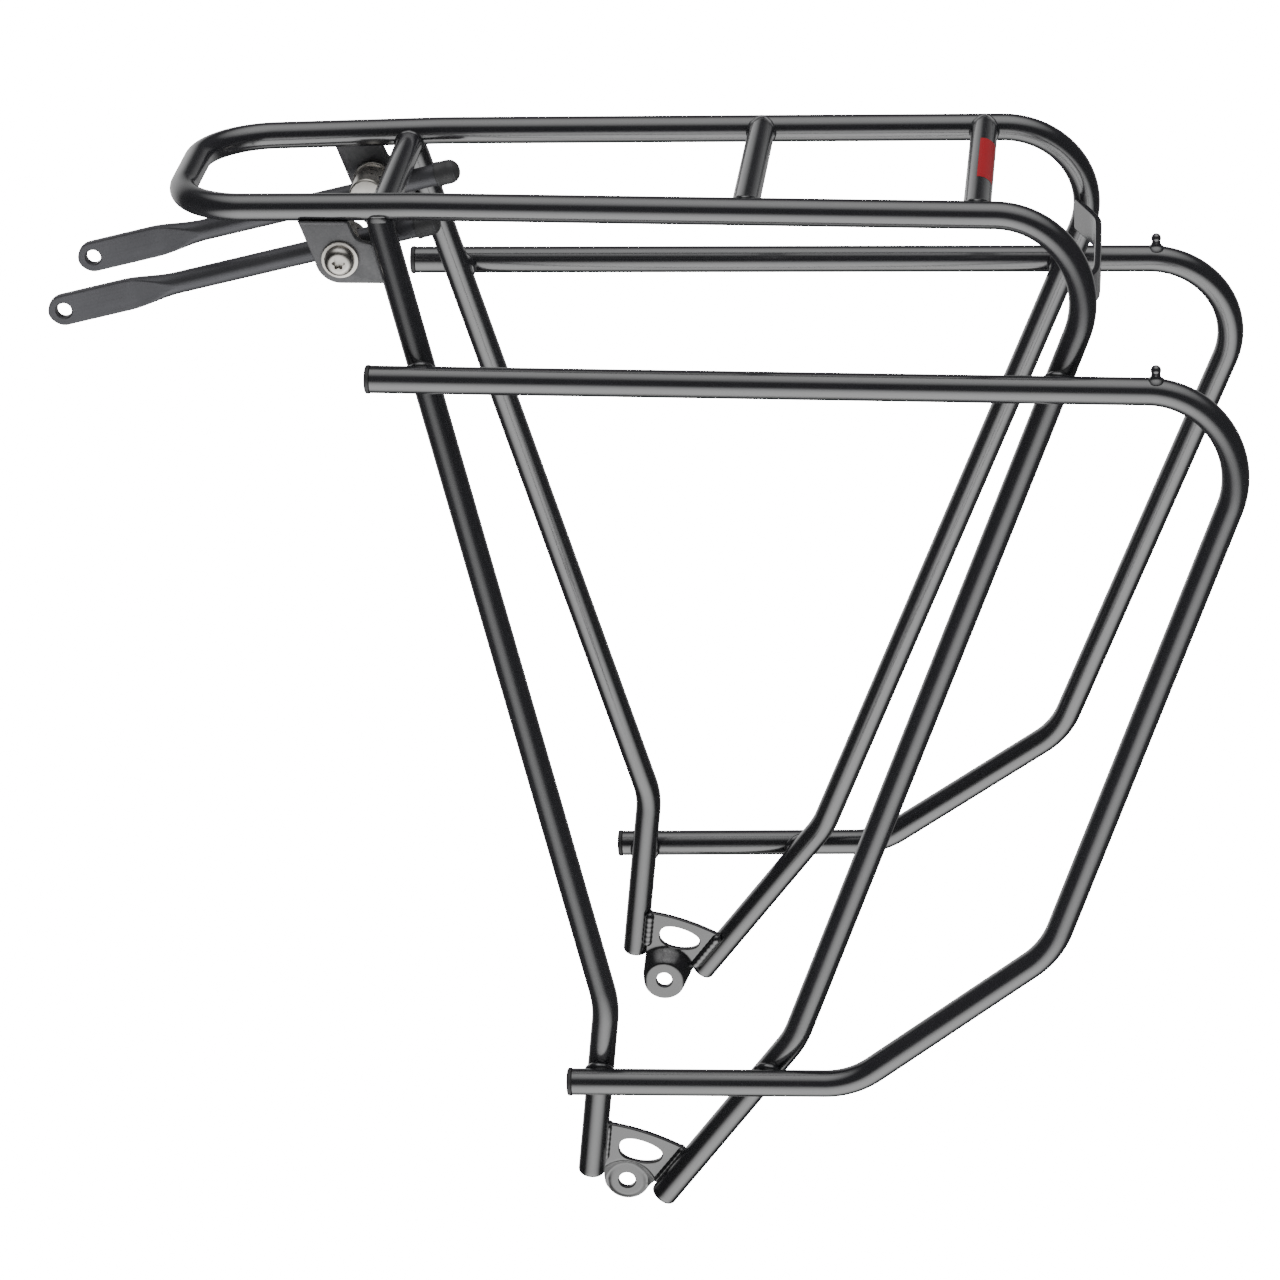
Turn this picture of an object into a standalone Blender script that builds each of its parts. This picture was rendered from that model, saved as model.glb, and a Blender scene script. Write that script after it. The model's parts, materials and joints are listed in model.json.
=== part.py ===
"""Bicycle rear rack: a tubular steel carrier with pannier loops and two adjustable seat-stay struts.

Units are metres, +Z is up, +X points to the back of the bicycle and +Y to its right.
The rack is laid out from its two axle eyelets: X = 0 and Z = 0 on the eyelet hole, Y = 0 midway
between them. The empty "rack" then moves that layout so that the object's origin is the centre of
its footprint, at the height of its lowest point.
"""

import math

import bmesh
import bpy
from mathutils import Matrix, Vector

MM = 0.001
GAP = 0.3 * MM
SIDES = {"left": -1, "right": 1}

# Tube stock and how finely it is faceted
TUBE_RADIUS = 5.0 * MM
TUBE_WALL = 1.0 * MM
TUBE_FACETS = 12
BEND_STEP = math.radians(15)
BEND_RADIUS = 31.5 * MM
NOSE_RADIUS = 26.7 * MM
KNEE_RADIUS = 300.0 * MM
ROUND_FACETS = 16
SHARP_ANGLE = math.radians(40)

# Platform: two top rails joined by a nose, each running down into a rear leg
RAIL_HEIGHT = 375.4 * MM
REAR_CORNER = Vector((183.2, 50.6, 375.4)) * MM
RAIL_KNEE = Vector((-70.3, 43.0, 375.4)) * MM
NOSE_CORNER = Vector((-158.3, 39.6, 373.5)) * MM
REAR_LEG_BEND = Vector((65.3, 90.4, 66.6)) * MM
REAR_LEG_END = Vector((15.4, 91.6, 0.5)) * MM
CROSS_TUBE_X = {"middle": 48.8 * MM, "rear": 131.3 * MM}

# Front legs and the cross tube between their tops, which sits a little below the rails
FRONT_LEG_TOP = Vector((-83.7, 43.6, 375.4)) * MM
FRONT_LEG_BEND = Vector((-4.8, 89.8, 78.9)) * MM
FRONT_LEG_END = Vector((-12.3, 90.5, 10.0)) * MM
FRONT_CROSS_X = -82.6 * MM
FRONT_CROSS_DROP = 4.0 * MM
FRONT_CROSS_GAP = 0.8 * MM

# Pannier loops: lower rail, rear bend, diagonal and bottom rail, outside the legs
LOOP_POINTS = [
    Vector((-85.5, 63.2, 316.9)) * MM,
    Vector((237.4, 70.2, 316.9)) * MM,
    Vector((160.0, 96.0, 107.8)) * MM,
    Vector((86.9, 101.4, 53.9)) * MM,
    Vector((-17.1, 100.5, 51.9)) * MM,
]
STOP_PEG_X = 195.2 * MM
STOP_PEG_RADIUS = 2.0 * MM
STOP_PEG_HEIGHT = 4.7 * MM

# Plugs that close the tube ends
PLUG_LENGTH = 7.0 * MM
PLUG_HEAD = 1.8 * MM
LEG_PLUG_DOME = 2.4 * MM

# Axle eyelets: a plate between the leg ends, dished inwards round its bolt hole
EYELET_HOLE_RADIUS = 3.1 * MM
EYELET_TAB_RADIUS = 7.5 * MM
EYELET_PLATE_Y = 87.4 * MM
EYELET_DISH_DEPTH = 6.0 * MM
EYELET_DISH_FLOOR_RADIUS = 7.0 * MM
EYELET_DISH_RIM_RADIUS = 11.0 * MM
EYELET_THICKNESS = 2.4 * MM
WINDOW_CENTRE = (6.2 * MM, 16.4 * MM)
WINDOW_HALF_AXES = (8.2 * MM, 4.6 * MM)
WINDOW_TILT = math.radians(-15.5)
PLATE_ARCH_RISE = 1.4 * MM
PLATE_TOP_FRONT_Z = 27.6 * MM
PLATE_TOP_REAR_Z = 17.6 * MM
PLATE_REAR_LOW_Z = 2.8 * MM
PLATE_FRONT_LOW_Z = 2.0 * MM

# Rear light plate: a strip across the back, its arms bent forward to the two rear bends
LIGHT_PLATE_Z = 341.9 * MM
LIGHT_PLATE_X = 173.4 * MM
LIGHT_PLATE_HALF_FLAT = 27.0 * MM
LIGHT_PLATE_HALF_HEIGHT = 5.8 * MM
LIGHT_PLATE_THICKNESS = 2.5 * MM
LIGHT_ARM_END = (165.2 * MM, 48.0 * MM)
LIGHT_HOLE_SPACING = 38.0 * MM
LIGHT_HOLE_RADIUS = 2.6 * MM

# Strut brackets under the front of the rails, and the clamps that turn in them
CLAMP_AXIS = Vector((-97.1, 0.0, 356.5)) * MM
BRACKET_Y = 44.8 * MM
BRACKET_THICKNESS = 3.0 * MM
BRACKET_LOBE_RADIUS = 9.3 * MM
BRACKET_LOBE_END = math.radians(-170)
BRACKET_TOP_FRONT_X = -111.9 * MM
BRACKET_TOP_REAR_X = -93.9 * MM
BRACKET_TOP_Z = 369.9 * MM
BRACKET_NOTCH = (-91.1 * MM, 363.5 * MM)
BRACKET_TAIL_TOP_Z = 362.1 * MM
BRACKET_TAIL_LOW_Z = 347.2 * MM
BRACKET_HOLE_RADIUS = 4.3 * MM
BARREL_NECK_RADIUS = 4.0 * MM
BARREL_COLLAR_RADIUS = 6.0 * MM
BARREL_FLANGE_RADIUS = 7.5 * MM
BARREL_BODY_RADIUS = 6.6 * MM
BARREL_COLLAR_LENGTH = 2.4 * MM
BARREL_FLANGE_LENGTH = 1.5 * MM
BARREL_THREAD_RADIUS = 2.8 * MM
BARREL_CHAMFER = 0.8 * MM
WASHER_RADIUS = 6.8 * MM
WASHER_THICKNESS = 1.0 * MM
BOLT_RADIUS = 2.5 * MM
BOLT_HEAD_RADIUS = 5.5 * MM
BOLT_HEAD_HEIGHT = 3.2 * MM
BOLT_SOCKET_RADIUS = 2.3 * MM
BOLT_SOCKET_DEPTH = 1.8 * MM
BOLT_REACH = 3.0 * MM

# Struts: round rods, flattened and drilled at the front, capped at the back
STRUT_Y = 28.8 * MM
STRUT_TILT = math.radians(14.0)
STRUT_RADIUS = 4.0 * MM
STRUT_BORE_RADIUS = 4.3 * MM
STRUT_EYE_REACH = 109.0 * MM
STRUT_TAIL_REACH = 35.5 * MM
STRUT_EYE_HALF_WIDTH = 5.9 * MM
STRUT_EYE_HALF_THICKNESS = 1.7 * MM
STRUT_EYE_HOLE_RADIUS = 2.75 * MM
STRUT_FLAT_LENGTH = 24.0 * MM
STRUT_BLEND_LENGTH = 20.0 * MM
STRUT_FACETS = 16
STRUT_TIP_STEPS = 5
STRUT_BLEND_STEPS = 4
CAP_RADIUS = 4.4 * MM
CAP_LENGTH = 9.0 * MM
CAP_WALL = 1.2 * MM

ORIGIN = Vector((0, 0, 0))
LEVEL = Matrix.Identity(3)
UPRIGHT = Matrix.Rotation(math.pi / 2, 3, "X")  # local XY becomes world XZ
ALONG_X = Matrix(((0, 0, 1), (1, 0, 0), (0, 1, 0)))  # local XY becomes world YZ

MATERIALS = {
    "black_powder_coat": ((0.012, 0.012, 0.014, 1), 0.28, 0.0),
    "black_plastic": ((0.02, 0.02, 0.02, 1), 0.55, 0.0),
    "satin_black_steel": ((0.055, 0.055, 0.06, 1), 0.45, 0.4),
    "stainless_steel": ((0.62, 0.60, 0.56, 1), 0.25, 1.0),
    "satin_black_rod": ((0.07, 0.07, 0.075, 1), 0.42, 0.5),
}


def clear_scene():
    for old in list(bpy.data.objects):
        bpy.data.objects.remove(old, do_unlink=True)


def make_material(name):
    """A plain Principled material from the table above."""
    if name in bpy.data.materials:
        return bpy.data.materials[name]
    colour, roughness, metallic = MATERIALS[name]
    material = bpy.data.materials.new(name)
    material.use_nodes = True
    shader = material.node_tree.nodes["Principled BSDF"]
    shader.inputs["Base Color"].default_value = colour
    shader.inputs["Roughness"].default_value = roughness
    shader.inputs["Metallic"].default_value = metallic
    material.diffuse_color = colour
    return material


def link(obj, parent):
    bpy.context.scene.collection.objects.link(obj)
    obj.parent = parent
    return obj


def add_empty(name, location, parent=None, rotation=None):
    empty = bpy.data.objects.new(name, None)
    empty.location = location
    if rotation is not None:
        empty.rotation_euler = rotation.to_euler()
    return link(empty, parent)


def add_mesh(name, bm, location, rotation, parent, material):
    """A new object from a bmesh, shaded smooth except at real edges."""
    bmesh.ops.recalc_face_normals(bm, faces=bm.faces)
    mesh = bpy.data.meshes.new(name)
    bm.to_mesh(mesh)
    bm.free()
    mesh.shade_smooth()
    mesh.set_sharp_from_angle(angle=SHARP_ANGLE)
    mesh.materials.append(make_material(material))
    obj = bpy.data.objects.new(name, mesh)
    obj.location = location
    obj.rotation_euler = rotation.to_euler()
    return link(obj, parent)


def mirrored(point, side):
    return Vector((point.x, point.y * side, point.z))


def between(start, end, share):
    return start.lerp(end, share)


def point_at_height(start, end, z):
    """The point of the line from start to end at height z."""
    return between(start, end, (z - start.z) / (end.z - start.z))


def rail_half_spacing(x):
    """Distance from the middle of the rack to a top rail's axis, behind the knee."""
    share = (x - RAIL_KNEE.x) / (REAR_CORNER.x - RAIL_KNEE.x)
    return between(RAIL_KNEE, REAR_CORNER, share).y


def rounded_path(points, radii):
    """The polyline through points with each inner corner turned into an arc of its radius."""
    path = [points[0].copy()]
    for before, corner, after, radius in zip(points, points[1:], points[2:], radii):
        into = (corner - before).normalized()
        out = (after - corner).normalized()
        turn = into.angle(out)
        tangent = radius * math.tan(turn / 2)
        start = corner - into * tangent
        normal = (out - into * into.dot(out)).normalized()
        centre = start + normal * radius
        steps = max(2, math.ceil(turn / BEND_STEP))
        for step in range(steps + 1):
            angle = turn * step / steps
            path.append(centre - normal * radius * math.cos(angle) + into * radius * math.sin(angle))
    path.append(points[-1].copy())
    return path


def path_tangents(path):
    tangents = []
    for index in range(len(path)):
        before = path[max(index - 1, 0)]
        after = path[min(index + 1, len(path) - 1)]
        tangents.append((after - before).normalized())
    tangents[0] = (path[1] - path[0]).normalized()
    tangents[-1] = (path[-1] - path[-2]).normalized()
    return tangents


def ring_points(path, radius, facets):
    """Rings of points round a path, turned as little as possible from one to the next."""
    tangents = path_tangents(path)
    across = tangents[0].orthogonal().normalized()
    rings = []
    for centre, tangent in zip(path, tangents):
        across = (across - tangent * across.dot(tangent)).normalized()
        upward = tangent.cross(across)
        ring = []
        for facet in range(facets):
            angle = 2 * math.pi * facet / facets
            ring.append(centre + across * radius * math.cos(angle) + upward * radius * math.sin(angle))
        rings.append(ring)
    return rings


def reach(point, direction, obstacles, gap):
    """How far a point travels along direction before it is one gap away from a tube.

    Each obstacle is a tube axis, given as two points. A point that would pass beside the tube
    stops where it is nearest to it.
    """
    distances = []
    for start, end in obstacles:
        axis = (end - start).normalized()
        offset = point - start
        offset -= axis * offset.dot(axis)
        heading = direction - axis * direction.dot(axis)
        square = heading.length_squared
        middle = -offset.dot(heading) / square
        clearance = (TUBE_RADIUS + gap) ** 2 - (offset + heading * middle).length_squared
        distances.append(middle - math.sqrt(max(clearance, 0.0) / square))
    return min(distances)


def cope_ring(ring, direction, obstacles, gap):
    return [point + direction * reach(point, direction, obstacles, gap) for point in ring]


def bridge(bm, first, second):
    """Quads between two rings of vertices of the same count."""
    count = len(first)
    for index in range(count):
        after = (index + 1) % count
        bm.faces.new((first[index], first[after], second[after], second[index]))


def add_tube(name, path, parent, cope_start=None, cope_end=None, gap=GAP):
    """A hollow tube along a path, open at its ends, whose ends can be coped round other tubes."""
    origin = path[0].copy()
    tangents = path_tangents(path)
    bm = bmesh.new()
    skins = []
    for radius in (TUBE_RADIUS, TUBE_RADIUS - TUBE_WALL):
        rings = ring_points(path, radius, TUBE_FACETS)
        if cope_start:
            rings[0] = cope_ring(rings[0], -tangents[0], cope_start, gap)
        if cope_end:
            rings[-1] = cope_ring(rings[-1], tangents[-1], cope_end, gap)
        skins.append([[bm.verts.new(point - origin) for point in ring] for ring in rings])
    outer, inner = skins
    for skin in skins:
        for first, second in zip(skin, skin[1:]):
            bridge(bm, first, second)
    bridge(bm, outer[0], inner[0])
    bridge(bm, outer[-1], inner[-1])
    return add_mesh(name, bm, origin, LEVEL, parent, "black_powder_coat")


def add_turned(name, profile, location, rotation, parent, material, closed=False):
    """A turned piece: a profile of (radius, height) points spun round local Z."""
    bm = bmesh.new()
    verts = [bm.verts.new((radius, 0.0, height)) for radius, height in profile]
    edges = [bm.edges.new(pair) for pair in zip(verts, verts[1:])]
    if closed:
        edges.append(bm.edges.new((verts[-1], verts[0])))
    bmesh.ops.spin(
        bm,
        geom=verts + edges,
        axis=(0, 0, 1),
        cent=(0, 0, 0),
        angle=2 * math.pi,
        steps=ROUND_FACETS,
        use_duplicate=False,
    )
    bmesh.ops.remove_doubles(bm, verts=bm.verts, dist=0.001 * MM)
    return add_mesh(name, bm, location, rotation, parent, material)


def combine(target, cutter, operation="DIFFERENCE"):
    """Cuts the target with another object, which is then only a hidden guide."""
    cutter.hide_render = True
    cutter.display_type = "WIRE"
    modifier = target.modifiers.new("cut_" + cutter.name, "BOOLEAN")
    modifier.operation = operation
    modifier.object = cutter


def cut_hole(target, name, outline, depth, location, rotation, parent):
    """Cuts a straight hole of the given outline, centred on its location."""
    cutter = add_prism(name, outline, depth, location, rotation, parent, "stainless_steel")
    combine(target, cutter)


def circle(centre, radius, start=0.0, end=2 * math.pi, steps=ROUND_FACETS, closed=True):
    """Points of a circle or an arc. A closed circle leaves out its repeated last point."""
    count = steps if closed else steps + 1
    points = []
    for step in range(count):
        angle = start + (end - start) * step / steps
        points.append((centre[0] + radius * math.cos(angle), centre[1] + radius * math.sin(angle)))
    return points


def add_prism(name, outline, depth, location, rotation, parent, material):
    """A closed outline in local XY, thickened by depth along local Z, half to each side."""
    bm = bmesh.new()
    face = bm.faces.new([bm.verts.new((x, y, -depth / 2)) for x, y in outline])
    raised = bmesh.ops.extrude_face_region(bm, geom=[face])["geom"]
    lifted = [item for item in raised if isinstance(item, bmesh.types.BMVert)]
    bmesh.ops.translate(bm, verts=lifted, vec=(0, 0, depth))
    return add_mesh(name, bm, location, rotation, parent, material)


def outward(side):
    """Turns local Z to point away from the middle of the rack on that side."""
    return Matrix.Rotation(-side * math.pi / 2, 3, "X")


def front_leg_line(side):
    return mirrored(FRONT_LEG_TOP, side), mirrored(FRONT_LEG_BEND, side)


def rail_line(side):
    """The part of a top rail between its knee and its rear bend."""
    return mirrored(RAIL_KNEE, side), mirrored(REAR_CORNER, side)


def rail_nose_line(side):
    """The part of a top rail between its knee and the nose."""
    return mirrored(NOSE_CORNER, side), mirrored(RAIL_KNEE, side)


def add_main_hoop(parent):
    """One bent tube: left rear leg, left rail, nose, right rail, right rear leg."""
    half = [REAR_LEG_END, REAR_LEG_BEND, REAR_CORNER, RAIL_KNEE, NOSE_CORNER]
    radii = [BEND_RADIUS, BEND_RADIUS, KNEE_RADIUS, NOSE_RADIUS]
    points = [mirrored(point, -1) for point in half] + list(reversed(half))
    path = rounded_path(points, radii + radii[::-1])
    add_tube("main_hoop", path, parent)


def add_front_legs(parent):
    for name, side in SIDES.items():
        points = [mirrored(p, side) for p in (FRONT_LEG_TOP, FRONT_LEG_BEND, FRONT_LEG_END)]
        path = rounded_path(points, [BEND_RADIUS])
        rails = [rail_line(side), rail_nose_line(side)]
        add_tube(f"front_leg_{name}", path, parent, cope_start=rails)


def add_cross_tubes(parent):
    for name, x in CROSS_TUBE_X.items():
        half = rail_half_spacing(x)
        path = [Vector((x, -half, RAIL_HEIGHT)), Vector((x, half, RAIL_HEIGHT))]
        add_tube(f"cross_tube_{name}", path, parent, [rail_line(-1)], [rail_line(1)])
    height = RAIL_HEIGHT - FRONT_CROSS_DROP
    half = FRONT_LEG_TOP.y
    path = [Vector((FRONT_CROSS_X, -half, height)), Vector((FRONT_CROSS_X, half, height))]
    left, right = [
        [rail_line(side), rail_nose_line(side), front_leg_line(side)] for side in (-1, 1)
    ]
    add_tube("cross_tube_front", path, parent, left, right, FRONT_CROSS_GAP)


def add_pannier_loops(parent):
    for name, side in SIDES.items():
        points = [mirrored(point, side) for point in LOOP_POINTS]
        path = rounded_path(points, [BEND_RADIUS] * 3)
        add_tube(f"pannier_loop_{name}", path, parent)


def add_stop_pegs(parent):
    """Short pegs on the lower rails that stop a pannier's hook from sliding back."""
    front, rear = LOOP_POINTS[:2]
    share = (STOP_PEG_X - front.x) / (rear.x - front.x)
    foot = between(front, rear, share) + Vector((0, 0, TUBE_RADIUS + GAP))
    rim = 0.7 * MM
    profile = [
        (0.0, 0.0),
        (STOP_PEG_RADIUS, 0.0),
        (STOP_PEG_RADIUS, STOP_PEG_HEIGHT - rim),
        (STOP_PEG_RADIUS - rim, STOP_PEG_HEIGHT),
        (0.0, STOP_PEG_HEIGHT),
    ]
    for name, side in SIDES.items():
        place = mirrored(foot, side)
        add_turned(f"stop_peg_{name}", profile, place, LEVEL, parent, "black_powder_coat")


def plug_profile(dome):
    """A stem inside the tube and a head that covers its end. The head is domed by the given height."""
    stem = TUBE_RADIUS - TUBE_WALL - 2 * GAP
    rim = 0.5 * MM
    profile = [(0.0, -PLUG_LENGTH), (stem - rim, -PLUG_LENGTH), (stem, -PLUG_LENGTH + rim), (stem, GAP)]
    profile.append((TUBE_RADIUS, GAP))
    if dome:
        steps = 4
        for step in range(steps):
            angle = math.pi / 2 * step / steps
            profile.append((TUBE_RADIUS * math.cos(angle), 2 * GAP + dome * math.sin(angle)))
        profile.append((0.0, 2 * GAP + dome))
    else:
        profile.append((TUBE_RADIUS, PLUG_HEAD - rim))
        profile.append((TUBE_RADIUS - rim, PLUG_HEAD))
        profile.append((0.0, PLUG_HEAD))
    return profile


def add_plugs(parent):
    """Push-in plugs in the pannier loops and welded caps on the feet of the legs."""
    flat = plug_profile(0.0)
    domed = plug_profile(LEG_PLUG_DOME)
    plugs = {
        "lower_rail_plug": (LOOP_POINTS[1], LOOP_POINTS[0], flat, "black_plastic"),
        "bottom_rail_plug": (LOOP_POINTS[-2], LOOP_POINTS[-1], flat, "black_plastic"),
        "rear_leg_cap": (REAR_LEG_BEND, REAR_LEG_END, domed, "black_powder_coat"),
        "front_leg_cap": (FRONT_LEG_BEND, FRONT_LEG_END, domed, "black_powder_coat"),
    }
    for title, (inside, end, profile, material) in plugs.items():
        for name, side in SIDES.items():
            place = mirrored(end, side)
            outwards = (place - mirrored(inside, side)).normalized()
            rotation = outwards.to_track_quat("Z", "Y").to_matrix()
            add_turned(f"{title}_{name}", profile, place, rotation, parent, material)


def beside_leg(start, end, z, forward):
    """A point of the eyelet plate's edge: level with z, one tube radius and a gap off a leg's axis."""
    on_axis = point_at_height(start, end, z)
    slope = end - start
    offset = (TUBE_RADIUS + GAP) * math.hypot(slope.x, slope.z) / abs(slope.z)
    return (on_axis.x + forward * offset, z)


def ellipse(centre, half_axes, tilt, steps):
    points = []
    for step in range(steps):
        angle = 2 * math.pi * step / steps
        along = half_axes[0] * math.cos(angle)
        across = half_axes[1] * math.sin(angle)
        x = centre[0] + along * math.cos(tilt) - across * math.sin(tilt)
        y = centre[1] + along * math.sin(tilt) + across * math.cos(tilt)
        points.append((x, y))
    return points


def eyelet_plate_outline():
    """Arched on top, down the rear leg, round the eyelet, up the front leg."""
    top_front = beside_leg(FRONT_LEG_BEND, FRONT_LEG_END, PLATE_TOP_FRONT_Z, 1)
    top_rear = beside_leg(REAR_LEG_BEND, REAR_LEG_END, PLATE_TOP_REAR_Z, -1)
    rear_low = beside_leg(REAR_LEG_BEND, REAR_LEG_END, PLATE_REAR_LOW_Z, -1)
    front_low = beside_leg(FRONT_LEG_BEND, FRONT_LEG_END, PLATE_FRONT_LOW_Z, 1)
    outline = []
    steps = ROUND_FACETS // 2
    for step in range(steps + 1):
        share = step / steps
        x = top_front[0] + (top_rear[0] - top_front[0]) * share
        z = top_front[1] + (top_rear[1] - top_front[1]) * share
        outline.append((x, z + PLATE_ARCH_RISE * 4 * share * (1 - share)))
    outline.append(rear_low)
    lobe_start = math.radians(-35)
    outline += circle((0, 0), EYELET_TAB_RADIUS, lobe_start, -math.pi, 10, closed=False)
    outline.append(front_low)
    return outline


def dished_sheet_profile():
    """Half a section of the pressed sheet: flat round the hole, up a cone, then level with the legs."""
    half = EYELET_THICKNESS / 2
    slope = math.atan2(EYELET_DISH_DEPTH, EYELET_DISH_RIM_RADIUS - EYELET_DISH_FLOOR_RADIUS)
    shift = half * math.tan(slope / 2)
    floor_y = EYELET_PLATE_Y - EYELET_DISH_DEPTH
    edge = 2 * PLATE_TOP_FRONT_Z
    inner = [
        (0.0, floor_y - half),
        (EYELET_DISH_FLOOR_RADIUS + shift, floor_y - half),
        (EYELET_DISH_RIM_RADIUS + shift, EYELET_PLATE_Y - half),
        (edge, EYELET_PLATE_Y - half),
    ]
    outer = [
        (edge, EYELET_PLATE_Y + half),
        (EYELET_DISH_RIM_RADIUS - shift, EYELET_PLATE_Y + half),
        (EYELET_DISH_FLOOR_RADIUS - shift, floor_y + half),
        (0.0, floor_y + half),
    ]
    return inner + outer


def add_eyelet_plates(parent):
    depth = 4 * EYELET_DISH_DEPTH
    paint = "black_powder_coat"
    window = ellipse(WINDOW_CENTRE, WINDOW_HALF_AXES, WINDOW_TILT, ROUND_FACETS)
    hole = circle((0, 0), EYELET_HOLE_RADIUS)
    sheet = dished_sheet_profile()
    for name, side in SIDES.items():
        plate = add_turned(f"eyelet_plate_{name}", sheet, ORIGIN, outward(side), parent, paint)
        place = Vector((0, side * EYELET_PLATE_Y, 0))
        outline = eyelet_plate_outline()
        edge = add_prism(f"plate_edge_{name}", outline, depth, place, UPRIGHT, parent, paint)
        combine(plate, edge, "INTERSECT")
        cut_hole(plate, f"window_{name}", window, depth, place, UPRIGHT, parent)
        cut_hole(plate, f"axle_hole_{name}", hole, depth, place, UPRIGHT, parent)


def light_plate_outline():
    """The bent strip seen from above: its outer edge, then its inner edge on the way back."""
    half = LIGHT_PLATE_THICKNESS / 2
    flat = LIGHT_PLATE_HALF_FLAT
    arm_x, arm_y = LIGHT_ARM_END
    outer = [(arm_x + half, -arm_y), (LIGHT_PLATE_X + half, -flat)]
    outer += [(LIGHT_PLATE_X + half, flat), (arm_x + half, arm_y)]
    return outer + [(x - LIGHT_PLATE_THICKNESS, y) for x, y in reversed(outer)]


def add_light_plate(parent):
    """A drilled strip for a rear light, between the two rear bends."""
    height = 2 * LIGHT_PLATE_HALF_HEIGHT
    place = Vector((0, 0, LIGHT_PLATE_Z))
    outline = light_plate_outline()
    plate = add_prism("light_plate", outline, height, place, LEVEL, parent, "black_powder_coat")
    hole = circle((0, 0), LIGHT_HOLE_RADIUS)
    for name, side in SIDES.items():
        place = Vector((LIGHT_PLATE_X, side * LIGHT_HOLE_SPACING / 2, LIGHT_PLATE_Z))
        cut_hole(plate, f"light_hole_{name}", hole, height, place, ALONG_X, parent)


def bracket_outline():
    """Hangs under the rail, rounds the clamp bolt and runs back to the front leg."""
    tail_top = beside_leg(FRONT_LEG_TOP, FRONT_LEG_BEND, BRACKET_TAIL_TOP_Z, -1)
    tail_low = beside_leg(FRONT_LEG_TOP, FRONT_LEG_BEND, BRACKET_TAIL_LOW_Z, -1)
    centre = (CLAMP_AXIS.x, CLAMP_AXIS.z)
    outline = [
        (BRACKET_TOP_FRONT_X, BRACKET_TOP_Z),
        (BRACKET_TOP_REAR_X, BRACKET_TOP_Z),
        BRACKET_NOTCH,
        tail_top,
        tail_low,
    ]
    lobe_start = math.radians(-90)
    outline += circle(centre, BRACKET_LOBE_RADIUS, lobe_start, BRACKET_LOBE_END, 8, closed=False)
    return [(x - centre[0], z - centre[1]) for x, z in outline]


def add_brackets(parent):
    outline = bracket_outline()
    hole = circle((0, 0), BRACKET_HOLE_RADIUS)
    thickness = BRACKET_THICKNESS
    for name, side in SIDES.items():
        place = CLAMP_AXIS + Vector((0, side * BRACKET_Y, 0))
        title = f"strut_bracket_{name}"
        bracket = add_prism(title, outline, thickness, place, UPRIGHT, parent, "satin_black_steel")
        cut_hole(bracket, f"bolt_hole_{name}", hole, 2 * thickness, place, UPRIGHT, parent)


def barrel_profile():
    """From the strut side out: body round the strut, flange, collar, and the neck in the bracket."""
    bracket_inner = BRACKET_Y - BRACKET_THICKNESS / 2
    bracket_outer = BRACKET_Y + BRACKET_THICKNESS / 2
    seat = bracket_inner - GAP
    flange_out = seat - BARREL_COLLAR_LENGTH
    flange_in = flange_out - BARREL_FLANGE_LENGTH
    body_end = STRUT_Y - BARREL_BODY_RADIUS
    thread_end = STRUT_Y
    return [
        (0.0, body_end),
        (BARREL_BODY_RADIUS - BARREL_CHAMFER, body_end),
        (BARREL_BODY_RADIUS, body_end + BARREL_CHAMFER),
        (BARREL_BODY_RADIUS, flange_in),
        (BARREL_FLANGE_RADIUS, flange_in),
        (BARREL_FLANGE_RADIUS, flange_out),
        (BARREL_COLLAR_RADIUS, flange_out),
        (BARREL_COLLAR_RADIUS, seat),
        (BARREL_NECK_RADIUS, seat),
        (BARREL_NECK_RADIUS, bracket_outer),
        (BARREL_THREAD_RADIUS, bracket_outer),
        (BARREL_THREAD_RADIUS, thread_end),
        (0.0, thread_end),
    ]


def washer_profile():
    seat = BRACKET_Y + BRACKET_THICKNESS / 2 + GAP
    rim = 0.3 * MM
    bore = BOLT_RADIUS + GAP
    return [
        (bore, seat),
        (WASHER_RADIUS, seat),
        (WASHER_RADIUS, seat + WASHER_THICKNESS - rim),
        (WASHER_RADIUS - rim, seat + WASHER_THICKNESS),
        (bore, seat + WASHER_THICKNESS),
    ]


def bolt_seat():
    """Height of the bolt head's underside above the middle of the rack."""
    return BRACKET_Y + BRACKET_THICKNESS / 2 + GAP + WASHER_THICKNESS + GAP


def bolt_profile():
    """A button head above its seat and a shank that ends just short of the strut."""
    seat = bolt_seat()
    tip = STRUT_Y + STRUT_BORE_RADIUS + BOLT_REACH
    rim = 0.5 * MM
    flat = BOLT_HEAD_RADIUS * 0.55
    profile = [
        (0.0, tip),
        (BOLT_RADIUS - rim, tip),
        (BOLT_RADIUS, tip + rim),
        (BOLT_RADIUS, seat),
        (BOLT_HEAD_RADIUS, seat),
    ]
    steps = 4
    for step in range(steps + 1):
        angle = math.pi / 2 * step / steps
        radius = flat + (BOLT_HEAD_RADIUS - flat) * math.cos(angle)
        profile.append((radius, seat + rim + (BOLT_HEAD_HEIGHT - rim) * math.sin(angle)))
    profile.append((0.0, seat + BOLT_HEAD_HEIGHT))
    return profile


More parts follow.
